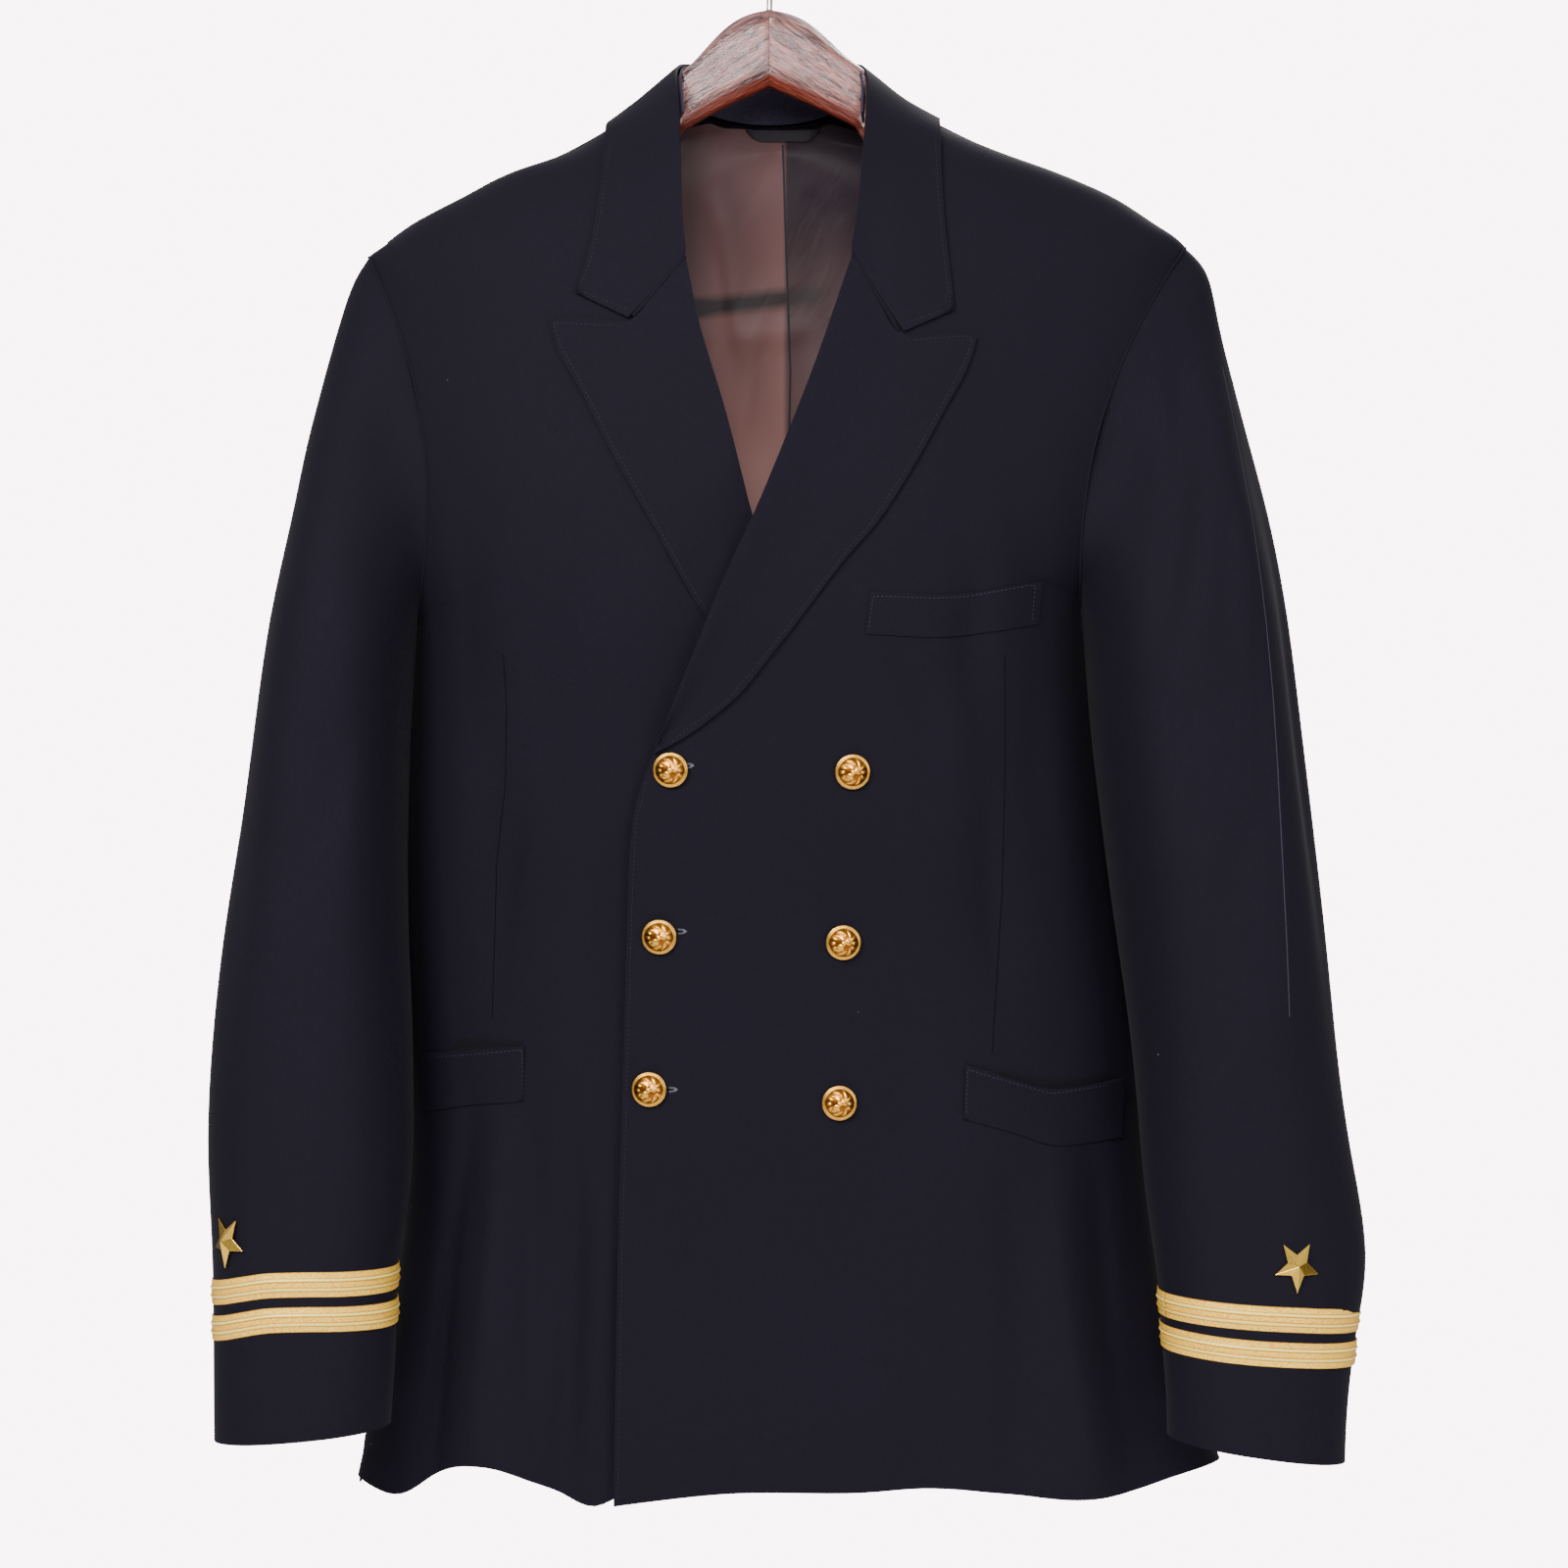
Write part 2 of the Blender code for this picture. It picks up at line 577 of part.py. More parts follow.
def lapel(name, side, tree, roll, edge, top):
    """A lapel on its front, standing off a little beside its roll line."""
    foot = path((roll[-1], edge[-1]))
    grid = patch(path(roll), path(edge), path(top, sharp=True), foot, ACROSS_LAPEL, DOWN_LAPEL)
    rows = []
    for row in grid:
        points = []
        for s, (x, z) in zip(ACROSS_LAPEL, row):
            rise = ROLL_RISE * math.exp(-(s / 0.3) ** 2)
            if side == "right":
                rise = rise * (1 - under(x, z))
            points.append(on_panel(tree, "front", x, z, WALL + LAY + rise))
        rows.append(points)
    return cloth(name, rows, wool)


lapel("lapel_left", "left", left_tree, LEFT_LAPEL_ROLL, LEFT_LAPEL_EDGE, LEFT_LAPEL_TOP)
lapel("lapel_right", "right", right_tree, RIGHT_LAPEL_ROLL, RIGHT_LAPEL_EDGE, RIGHT_LAPEL_TOP)

# Collar
ACROSS_COLLAR = (0, 0.12, 0.3, 0.5, 0.75, 1)
COLLAR_OUT = WALL + LAY + 0.2
RIDGE_ROW = 7
SHOULDER_EASE = 1.2


def collar_row(number, row):
    """Points across the collar's fall, from its fold to its outer edge."""
    fold = Vector(row[0:3])
    mid_x, mid_z, mid_rise, edge_x, edge_z = row[3:8]
    near_shoulder = RIDGE_ROW - 2 <= number <= RIDGE_ROW + 1
    edge_out = COLLAR_OUT + (SHOULDER_EASE if near_shoulder else 0)
    if number == RIDGE_ROW:
        middle = on_ridge(mid_x, COLLAR_OUT + mid_rise)
        edge = on_ridge(edge_x, edge_out)
    else:
        face = "front" if number < RIDGE_ROW else "back"
        middle = on_body(face, mid_x, mid_z, COLLAR_OUT + mid_rise)
        edge = on_body(face, edge_x, edge_z, edge_out)
    if number == 0:
        read = path((fold, middle, edge), sharp=True)
        middle_share = (middle - fold).length / ((middle - fold).length + (edge - middle).length)
        return [Vector(read(s * 2 * middle_share if s < 0.5 else
                            middle_share + (s - 0.5) * 2 * (1 - middle_share))) for s in ACROSS_COLLAR]
    read = [curve((0, 0.5, 1), (fold[i], middle[i], edge[i])) for i in range(3)]
    return [Vector([one(s) for one in read]) for s in ACROSS_COLLAR]


collar_rows = [collar_row(i, row) for i, row in enumerate(COLLAR_RIGHT)]
collar_rows.append(collar_row(len(COLLAR_RIGHT), COLLAR_NAPE))
collar_rows += [collar_row(i, row) for i, row in reversed(list(enumerate(COLLAR_LEFT)))]
NECK_AXIS = Vector((0, -10, -135))
cloth("collar", collar_rows, wool, centre=lambda point: NECK_AXIS)

# Collar stand
stand_folds = [row[0:3] for row in COLLAR_RIGHT[STAND_FIRST_ROW:]] + [COLLAR_NAPE[0:3]]
stand_folds += [row[0:3] for row in reversed(COLLAR_LEFT[STAND_FIRST_ROW:])]
stand_feet = list(STAND_RIGHT) + [STAND_NAPE] + list(reversed(STAND_LEFT))
stand_rows = []
for fold, foot in zip(stand_folds, stand_feet):
    inward = Vector((-fold[0], -8 - fold[1], 0)).normalized()
    head = Vector(fold) + inward * STAND_INSET + Vector((0, 0, -1.4))
    stand_rows.append([head.lerp(Vector(foot), share) for share in (0, 0.35, 0.7, 1)])
cloth("collar_stand", stand_rows, wool, wall=1.2, centre=lambda point: Vector((0, -8, point.z)))

# Back lining
lining_half = curve([row[0] for row in LINING], [row[1] for row in LINING])
LINING_IN = WALL + 1.2
LINING_SLACK = 4.0
lining_rows = []
for t in (0, 0.03, 0.08, 0.16, 0.26, 0.38, 0.5, 0.62, 0.74, 0.87, 1):
    row = []
    for s in np.linspace(-1, 1, 13):
        x = lining_half(t) * float(s)
        top = float(np.interp(x, neck_x, neck_z)) - 1.6
        z = top + (LINING_FOOT - top) * t
        row.append(on_panel(back_tree, "back", x, z, -LINING_IN - LINING_SLACK * ease(t * 6)))
    lining_rows.append(row)
LINING_WALL = 1.0
back_lining, lining_tree = cloth("back_lining", lining_rows, satin, wall=LINING_WALL)


# Sleeves
def sleeve_point(side, ring, angle, out=0.0):
    """A point of a sleeve by its ring, a number that may lie between two rings, and its angle."""
    outer_line, inner_line = (LEFT_SLEEVE_OUTER, LEFT_SLEEVE_INNER) if side == "left" else \
        (RIGHT_SLEEVE_OUTER, RIGHT_SLEEVE_INNER)
    marks = range(len(SLEEVE_RINGS))
    outer_share, inner_share, half_depth, middle, free = [
        float(np.interp(ring, marks, [row[i] for row in SLEEVE_RINGS])) for i in range(5)]
    outer_z = outer_line[0][0] + (outer_line[-1][0] - outer_line[0][0]) * outer_share
    inner_z = inner_line[0][0] + (inner_line[-1][0] - inner_line[0][0]) * inner_share
    outer_x = sleeve_reader[side][0](outer_z)
    inner_x = sleeve_reader[side][1](inner_z)
    turn = math.radians(angle)
    power = 1 - SLEEVE_SQUARE * free
    cosine = math.copysign(abs(math.cos(turn)) ** power, math.cos(turn))
    sine = math.copysign(abs(math.sin(turn)) ** power, math.sin(turn))
    dip = (-ARMHOLE_DIP if side == "left" else ARMHOLE_DIP) * (1 - free)
    x = (outer_x + inner_x) / 2 + (outer_x - inner_x) / 2 * cosine + dip * math.sin(turn) ** 2
    z = (outer_z + inner_z) / 2 + (outer_z - inner_z) / 2 * cosine
    hole_x, hole_z = armhole(side, angle)
    at_seam = body_y("front" if sine > 0 else "back", hole_x, hole_z)
    if abs(sine) < 0.001:
        at_seam = 0.0
    y = (1 - free) * at_seam + free * (middle - half_depth * sine)
    point = Vector((x, y, z))
    axis = Vector(((outer_x + inner_x) / 2, middle * free, (outer_z + inner_z) / 2))
    spoke = (point - axis).normalized()
    for fold_side, fold_angle, top, foot, width, depth in SLEEVE_FOLDS:
        if fold_side == side and foot < z < top:
            share = (top - z) / (top - foot)
            gap = (angle - fold_angle + 180) % 360 - 180
            point += spoke * depth * math.sin(math.pi * share) ** 2 * math.exp(-(gap / width) ** 2)
    return point + spoke * out


sleeve_reader = {}
for side, outer_line, inner_line in (("left", LEFT_SLEEVE_OUTER, LEFT_SLEEVE_INNER),
                                     ("right", RIGHT_SLEEVE_OUTER, RIGHT_SLEEVE_INNER)):
    sleeve_reader[side] = (curve([row[0] for row in outer_line], [row[1] for row in outer_line]),
                           curve([row[0] for row in inner_line], [row[1] for row in inner_line]))

FULL_TURN = [-angle for angle in reversed(HALF_TURN[1:])] + list(HALF_TURN)
long_turn = FULL_TURN + [angle + 360 for angle in FULL_TURN[1:]]
top_angles = [angle for angle in long_turn if HIND_SEAM <= angle <= FORE_SEAM]
under_angles = [angle for angle in long_turn if FORE_SEAM <= angle <= HIND_SEAM + 360]
ARMHOLE_GAP = 0.8
TIP_GAP = 1.8


def sleeve_piece(name, side, angles):
    """One half of a sleeve, between its two seams."""
    angles = [angles[0] + SEAM_ANGLE] + angles[1:-1] + [angles[-1] - SEAM_ANGLE]
    away = Vector((ARMHOLE_GAP if side == "left" else -ARMHOLE_GAP, 0, 0))
    rows = []
    for ring in range(len(SLEEVE_RINGS)):
        row = []
        for angle in angles:
            shoulder = 1 + TIP_GAP * max(0, math.cos(math.radians(angle))) ** 2
            row.append(sleeve_point(side, ring, angle) + away * shoulder * max(0, 1 - ring / 3))
        rows.append(row)
    middle_x = curve([-196, -395, -600, -830], [-200, -228, -242, -246] if side == "right"
                     else [200, 222, 242, 256])
    middle_y = curve([-196, -395, -600, -830], [0, -11, -30, -62])
    middle = lambda point: Vector((middle_x(point.z), middle_y(point.z), point.z))
    return cloth(name, rows, wool, centre=middle)


sleeve_trees = {}
for side in ("left", "right"):
    sleeve_trees[side] = sleeve_piece("top_sleeve_" + side, side, top_angles)[1]
    sleeve_piece("under_sleeve_" + side, side, under_angles)


# Gold lace round the cuffs
def ring_at(side, angle, height):
    """The ring number of a sleeve's point at a height."""
    low, high = 4.0, len(SLEEVE_RINGS) - 1.0
    for _ in range(24):
        middle = (low + high) / 2
        if sleeve_point(side, middle, angle).z > height:
            low = middle
        else:
            high = middle
    return (low + high) / 2


# The gap over the sleeve, and the lace's thickness
LACE_GAP = 0.9
for name, side, outer_z, middle_z, inner_z in LACES:
    height = curve((-1, 0, 1), (inner_z, middle_z, outer_z))
    lace_rows = []
    for drop in (0, LACE_WIDTH / 2, LACE_WIDTH):
        row = []
        for angle in FULL_TURN:
            z = height(math.cos(math.radians(angle))) - drop
            crown = 0.25 if 0 < drop < LACE_WIDTH else 0.0
            row.append(sleeve_point(side, ring_at(side, angle, z), angle, LACE_GAP + LACE_PROUD + crown))
        lace_rows.append(row)
    lace_axis = Vector((lace_rows[0][0].lerp(lace_rows[0][len(FULL_TURN) // 2], 0.5)))
    cloth(name, lace_rows, lace_gold, wall=LACE_PROUD,
          centre=lambda point: Vector((lace_axis.x, lace_axis.y, point.z)), ring=True)


# Stars
def star_angle(side, x, z):
    """Angle on the sleeve's front face whose point lies at a place across."""
    low, high = 4.0, 90.0
    for _ in range(24):
        middle = (low + high) / 2
        at = sleeve_point(side, ring_at(side, middle, z), middle).x
        if (at > x) == (side == "left"):
            low = middle
        else:
            high = middle
    return (low + high) / 2


def on_sleeve(side, point, out):
    """The nearest point of a top sleeve, moved out square to it."""
    hit, normal, _, _ = sleeve_trees[side].find_nearest(point * MM)
    if normal.y > 0:
        normal = -normal
    return hit / MM + normal * out


for name, side, x, z in STARS:
    angle = star_angle(side, x, z)
    ring = ring_at(side, angle, z)
    seat = sleeve_point(side, ring, angle)
    beside = sleeve_point(side, ring, angle - 6) - sleeve_point(side, ring, angle + 6)
    beside = Vector((beside.x, beside.y, 0)).normalized()
    shape = bmesh.new()
    rim = []
    for k in range(10):
        reach = STAR_RADIUS if k % 2 == 0 else STAR_RADIUS * 0.42
        turn = math.radians(-90 + 36 * k)
        flat = beside * (reach * math.cos(turn)) + Vector((0, 0, reach * math.sin(turn)))
        rim.append(seat + flat)
    under_face = [shape.verts.new(on_sleeve(side, point, STAR_GAP) * MM) for point in rim]
    over_face = [shape.verts.new(on_sleeve(side, point, STAR_GAP + STAR_EDGE) * MM) for point in rim]
    under_middle = shape.verts.new(on_sleeve(side, seat, STAR_GAP) * MM)
    over_middle = shape.verts.new(on_sleeve(side, seat, STAR_GAP + STAR_HEIGHT) * MM)
    for k in range(10):
        m = (k + 1) % 10
        shape.faces.new((over_face[k], over_face[m], over_middle))
        shape.faces.new((under_face[m], under_face[k], under_middle))
        shape.faces.new((under_face[k], under_face[m], over_face[m], over_face[k]))
    bmesh.ops.recalc_face_normals(shape, faces=shape.faces)
    mesh = bpy.data.meshes.new(name)
    shape.to_mesh(mesh)
    shape.free()
    add(name, mesh, gilt)

# Pocket welts
for name, side, top, foot, gape in WELTS:
    tree = left_tree if side == "left" else right_tree
    grid = patch(path((top[0], foot[0])), path((top[-1], foot[-1])), path(top), path(foot),
                 [i / 8 for i in range(9)], (0, 0.35, 0.7, 1))
    rows = []
    for t, row in zip((0, 0.35, 0.7, 1), grid):
        points = []
        for i, (x, z) in enumerate(row):
            rise = gape * (1 - t) ** 1.5 * math.sin(math.pi * (0.15 + 0.7 * i / 8))
            rise += 1.2 * abs(x / 185) ** 12
            points.append(on_panel(tree, "front", x, z, WALL + LAY + 0.2 + rise))
        rows.append(points)
    cloth(name, rows, wool)

# Buttons: a domed profile turned about the button's axis
BUTTON_LIFT = 0.6
DOME_STEPS = 5
BUTTON_RIM = 0.9
RIM_HEIGHT = 2.6
for name, x, z in BUTTONS:
    seat = on_panel(left_tree, "front", x, z)
    ahead = on_panel(left_tree, "front", x, z, 1) - seat
    shape = bmesh.new()
    profile = [(0.0, 0.0), (BUTTON_RADIUS - 1.6, 0.0), (BUTTON_RADIUS, 1.3), (BUTTON_RADIUS, 2.3)]
    for k in range(DOME_STEPS):
        turn = math.radians(8 + 82 * k / DOME_STEPS)
        radius = (BUTTON_RADIUS - BUTTON_RIM) * math.cos(turn)
        profile.append((radius, RIM_HEIGHT + (BUTTON_HEIGHT - RIM_HEIGHT) * math.sin(turn)))
    profile.append((0.0, BUTTON_HEIGHT))
    points = [shape.verts.new((radius * MM, 0, height * MM)) for radius, height in profile]
    edges = [shape.edges.new(pair) for pair in zip(points, points[1:])]
    bmesh.ops.spin(shape, geom=points + edges, cent=(0, 0, 0), axis=(0, 0, 1), angle=math.tau, steps=12,
                   use_merge=True)
    bmesh.ops.remove_doubles(shape, verts=shape.verts, dist=0.00002)
    bmesh.ops.recalc_face_normals(shape, faces=shape.faces)
    mesh = bpy.data.meshes.new(name)
    shape.to_mesh(mesh)
    shape.free()
    button = add(name, mesh, gilt)
    button.rotation_mode = "QUATERNION"
    button.rotation_quaternion = ahead.to_track_quat("Z", "Y")
    button.location = (seat + ahead.normalized() * BUTTON_LIFT) * MM

# Hanger: a loft of rounded sections along both arms
CORNER = 0.3


def hanger_section(x, top, foot, thickness):
    """Eight points round a section of the wood."""
    half = thickness / 2
    cut = min(half * 0.6, (top - foot) * CORNER)
    outline = ((-half, foot + cut), (-half, top - cut), (-half + cut, top), (half - cut, top),
               (half, top - cut), (half, foot + cut), (half - cut, foot), (-half + cut, foot))
    return [Vector((x, y, z)) for y, z in outline]


sections = []
for sign in (-1, 1):
    arm = []
    for reach, height in HANGER_ARM:
        top = ridge(sign * reach) - WALL - ARM_CLEARANCE
        share = (reach - HANGER_ARM[0][0]) / (HANGER_ARM[-1][0] - HANGER_ARM[0][0])
        thickness = HANGER_THICKNESS + (HANGER_END_THICKNESS - HANGER_THICKNESS) * share
        arm.append(hanger_section(sign * reach, top, top - height, thickness))
    if sign < 0:
        sections = list(reversed(arm)) + [hanger_section(*row) for row in HANGER_CENTRE]
    else:
        sections = sections + arm
shape = bmesh.new()
loops = []
for section in sections:
    points = [shape.verts.new(point * MM) for point in section]
    loops.append([shape.edges.new((a, b)) for a, b in zip(points, points[1:] + points[:1])])
for a, b in zip(loops, loops[1:]):
    bmesh.ops.bridge_loops(shape, edges=a + b)
bmesh.ops.contextual_create(shape, geom=loops[0])
bmesh.ops.contextual_create(shape, geom=loops[-1])
bmesh.ops.recalc_face_normals(shape, faces=shape.faces)
mesh = bpy.data.meshes.new("hanger")
shape.to_mesh(mesh)
shape.free()
add("hanger", mesh, mahogany)

# Hook
route = list(HOOK_SHANK) + list(HOOK_NECK)
middle_radius = CROWN_RADIUS + ROD_RADIUS
for degrees in range(HOOK_START, HOOK_END + 1, HOOK_STEP):
    turn = math.radians(degrees)
    route.append((middle_radius * math.cos(turn), -CROWN_RADIUS + middle_radius * math.sin(turn)))
rod = bpy.data.curves.new("hanger_hook", "CURVE")
rod.dimensions = "3D"
line = rod.splines.new("POLY")
line.points.add(len(route) - 1)
for point, (x, z) in zip(line.points, route):
    point.co = (x * MM, 0, z * MM, 1)
rod.bevel_depth = ROD_RADIUS * MM
rod.bevel_resolution = 2
rod.use_fill_caps = True
hook = bpy.data.objects.new("hanger_hook", rod)
rod.materials.append(steel)
jacket.objects.link(hook)

# Hanging loop
loop_rows = []
for drop in (0, LOOP_HEIGHT):
    row = []
    for k in range(7):
        x = LOOP_MIDDLE[0] + LOOP_WIDTH * (k / 6 - 0.5)
        z = LOOP_MIDDLE[1] + LOOP_HEIGHT / 2 - drop
        row.append(on_panel(lining_tree, "back", x, z, -LINING_WALL - 0.9))
    loop_rows.append(row)
cloth("hanger_loop", loop_rows, satin, wall=0.9)
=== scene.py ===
# %% [markdown]
# # A naval dress jacket on its wooden hanger
#
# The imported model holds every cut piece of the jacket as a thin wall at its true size. This script
# gives each of them its looks: fine wool, satin, woven gold lace, gilt buttons and lacquered wood.
# Left and right are the wearer's, so the jacket's left side is at +X and shows on the right.

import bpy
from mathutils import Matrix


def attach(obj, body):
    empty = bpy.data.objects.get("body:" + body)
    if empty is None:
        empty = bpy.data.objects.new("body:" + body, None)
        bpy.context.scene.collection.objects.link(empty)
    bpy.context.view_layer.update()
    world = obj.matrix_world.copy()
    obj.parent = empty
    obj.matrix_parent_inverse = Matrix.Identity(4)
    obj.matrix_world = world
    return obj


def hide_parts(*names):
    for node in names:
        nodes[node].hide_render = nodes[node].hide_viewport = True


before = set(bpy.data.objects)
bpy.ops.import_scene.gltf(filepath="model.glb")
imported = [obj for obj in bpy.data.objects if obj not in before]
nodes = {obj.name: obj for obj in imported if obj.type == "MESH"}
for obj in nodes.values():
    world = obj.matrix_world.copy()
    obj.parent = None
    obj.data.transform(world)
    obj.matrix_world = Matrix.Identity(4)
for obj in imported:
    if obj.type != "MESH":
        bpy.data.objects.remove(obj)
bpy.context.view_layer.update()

# %% Tools of Blender and the unit
import math

import bmesh
import bpy
import numpy as np
from mathutils import Matrix, Vector, noise
from mathutils.bvhtree import BVHTree

MM = 0.001

# %% [markdown]
# ## The camera and the light
#
# A product photo of a hanging garment is taken square on, from a couple of metres, with a long lens,
# so that nothing bulges. The jacket is nearly black, so its form shows only as soft light slides over
# it: one large soft lamp on the upper left does most of the work, and a weaker one fills the right.

# %% Camera
def link(thing):
    """Puts an object into the scene."""
    bpy.context.scene.collection.objects.link(thing)
    return thing


eye = bpy.data.cameras.new("front_camera")
eye.lens = 85
eye.sensor_width = 36
camera = link(bpy.data.objects.new("front_camera", eye))
camera.location = (0.0079, -2.0, -0.480)
camera.rotation_euler = (math.radians(90), 0, 0)
bpy.context.scene.camera = camera


# %% Lamps
def soft_lamp(name, place, aim, size, power, colour):
    """A square soft lamp at a place, turned to a point."""
    light = bpy.data.lights.new(name, "AREA")
    light.shape = "SQUARE"
    light.size = size
    light.energy = power
    light.color = colour
    lamp = link(bpy.data.objects.new(name, light))
    lamp.location = place
    lamp.rotation_mode = "QUATERNION"
    lamp.rotation_quaternion = (Vector(aim) - Vector(place)).to_track_quat("-Z", "Y")


MIDDLE = (0, 0, -0.45)
soft_lamp("key_lamp", (-1.15, -2.2, 0.75), MIDDLE, 1.0, 73, (1.0, 0.98, 0.97))
soft_lamp("fill_lamp", (1.5, -2.1, -0.3), MIDDLE, 1.2, 23, (0.97, 0.97, 1.0))
soft_lamp("front_lamp", (0.0, -2.5, 0.42), (0, 0, -0.1), 0.8, 39, (1.0, 0.97, 0.98))
soft_lamp("back_lamp", (0.7, 2.2, 1.3), MIDDLE, 1.2, 36, (1.0, 0.98, 0.97))

# %% Sky and floor
sky = bpy.data.worlds.new("pale_room")
bpy.context.scene.world = sky
sky.use_nodes = True
room_light = sky.node_tree.nodes["Background"]
room_light.inputs["Strength"].default_value = 0.76
# A studio is bright above and dark below, which gives polished gilt something to mirror
sky_way = sky.node_tree.nodes.new("ShaderNodeTexCoord")
sky_axes = sky.node_tree.nodes.new("ShaderNodeSeparateXYZ")
sky_shade = sky.node_tree.nodes.new("ShaderNodeValToRGB")
sky.node_tree.links.new(sky_way.outputs["Generated"], sky_axes.inputs["Vector"])
sky.node_tree.links.new(sky_axes.outputs["Z"], sky_shade.inputs["Fac"])
sky.node_tree.links.new(sky_shade.outputs["Color"], room_light.inputs["Color"])
sky_shade.color_ramp.elements[0].position = 0.0
sky_shade.color_ramp.elements[0].color = (0.16, 0.15, 0.16, 1)
sky_shade.color_ramp.elements[1].position = 0.4
sky_shade.color_ramp.elements[1].color = (0.98, 0.96, 1.0, 1)
# What the camera sees behind the jacket is brighter than what lights it, as a lit wall is
wall_light = sky.node_tree.nodes.new("ShaderNodeBackground")
wall_light.inputs["Color"].default_value = (1.0, 0.80, 0.91, 1)
wall_light.inputs["Strength"].default_value = 9.0
seen = sky.node_tree.nodes.new("ShaderNodeLightPath")
choice = sky.node_tree.nodes.new("ShaderNodeMixShader")
sky.node_tree.links.new(seen.outputs["Is Camera Ray"], choice.inputs["Fac"])
sky.node_tree.links.new(room_light.outputs["Background"], choice.inputs[1])
sky.node_tree.links.new(wall_light.outputs["Background"], choice.inputs[2])
sky.node_tree.links.new(choice.outputs["Shader"], sky.node_tree.nodes["World Output"].inputs["Surface"])

FLOOR_HEIGHT = -1.6
floor_shape = bmesh.new()
bmesh.ops.create_circle(floor_shape, cap_ends=True, segments=96, radius=2.6,
                        matrix=Matrix.Translation((0, 0, FLOOR_HEIGHT)))
floor_mesh = bpy.data.meshes.new("floor")
floor_shape.to_mesh(floor_mesh)
floor_shape.free()
floor = link(bpy.data.objects.new("floor", floor_mesh))
print("floor", FLOOR_HEIGHT, "m below the rail")

# %% [markdown]
# ## Materials
#
# A material is a small network: a pattern on the object's own coordinates steers the colour, and a
# second, finer one steers the bump. The sizes are real ones, so a weave of half a millimetre is half
# a millimetre. Numbers that are the same all over stay on the shader itself.


# %% A helper for networks
def new_material(name, colour, roughness, metallic=0.0, **more):
    """A material with its Principled shader set."""
    material = bpy.data.materials.new(name)
    material.use_nodes = True
    shader = material.node_tree.nodes["Principled BSDF"]
    shader.inputs["Base Color"].default_value = (*colour, 1)
    shader.inputs["Roughness"].default_value = roughness
    shader.inputs["Metallic"].default_value = metallic
    for socket, value in more.items():
        shader.inputs[socket.replace("_", " ")].default_value = value
    material.diffuse_color = (*colour, 1)
    return material, material.node_tree, shader


def add_node(tree, kind, links=(), **values):
    """A node with its settings and its incoming links."""
    node = tree.nodes.new(kind)
    for key, value in values.items():
        setattr(node, key, value)
    for socket, source in links:
        if hasattr(source, "is_output"):
            tree.links.new(source, node.inputs[socket])
        else:
            node.inputs[socket].default_value = source
    return node


def placed(tree, scale=(1, 1, 1), turn=(0, 0, 0), coordinates="Object"):
    """Coordinates of the piece, scaled and turned."""
    where = add_node(tree, "ShaderNodeTexCoord")
    return add_node(tree, "ShaderNodeMapping", links=[("Vector", where.outputs[coordinates]),
                    ("Scale", scale), ("Rotation", turn)]).outputs["Vector"]


def stretched(tree, place, amounts):
    """Turned coordinates, drawn out or pressed together along their own axes."""
    node = add_node(tree, "ShaderNodeVectorMath", links=[("Vector", place)], operation="MULTIPLY")
    node.inputs[1].default_value = amounts
    return node.outputs["Vector"]


def mixed(tree, share, first, second, blend="MIX"):
    """Two colours mixed by a share."""
    node = add_node(tree, "ShaderNodeMix", data_type="RGBA", blend_type=blend)
    for index, value in ((0, share), (6, first), (7, second)):
        if hasattr(value, "is_output"):
            tree.links.new(value, node.inputs[index])
        elif index == 0:
            node.inputs[index].default_value = value
        else:
            node.inputs[index].default_value = (*value, 1)
    return node.outputs[2]


def ramp(tree, source, stops):
    """A value turned into shades, from stops of place and colour."""
    node = add_node(tree, "ShaderNodeValToRGB", links=[("Fac", source)])
    while len(node.color_ramp.elements) < len(stops):
        node.color_ramp.elements.new(0.5)
    for element, (place, shade) in zip(node.color_ramp.elements, stops):
        element.position = place
        element.color = (shade, shade, shade, 1) if isinstance(shade, float) else (*shade, 1)
    return node.outputs["Color"]


def bumped(tree, shader, height, strength, distance):
    """Raises the surface's light by a pattern."""
    bump = add_node(tree, "ShaderNodeBump", links=[("Height", height), ("Strength", strength),
                    ("Distance", distance)])
    tree.links.new(bump.outputs["Normal"], shader.inputs["Normal"])


def axes_of(tree, place):
    """The three coordinates of a place."""
    return add_node(tree, "ShaderNodeSeparateXYZ", links=[("Vector", place)]).outputs


def noise_on(tree, place, scale, detail=2.0, distortion=0.0):
    """A cloudy pattern."""
    return add_node(tree, "ShaderNodeTexNoise", links=[("Vector", place), ("Scale", scale), ("Detail", detail),
                    ("Distortion", distortion)]).outputs["Fac"]


def bands_on(tree, place, scale, distortion, detail=2.0):
    """A pattern of bands across X."""
    return add_node(tree, "ShaderNodeTexWave", links=[("Vector", place), ("Scale", scale),
                    ("Distortion", distortion), ("Detail", detail)], bands_direction="X").outputs["Fac"]


def ranged(tree, value, start, end):
    """How far a value has gone from start to end, from 0 to 1."""
    return add_node(tree, "ShaderNodeMapRange", links=[("Value", value), ("From Min", start),
                    ("From Max", end)]).outputs["Result"]


# %% [markdown]
# ### Navy wool
#
# Dress wool is a fine twill: slanting ribs 0.8 mm apart, with a short soft nap. Slanting bands make
# the twill, fine noise makes the fibres, and a little sheen gives the pale bloom at grazing angles.
# A few flecks of lint sit on it, as on any dark wool.

# %% Wool
WAVE_PERIOD = 0.314     # metres between the bands of a wave texture at scale 1
TWILL = 0.0008


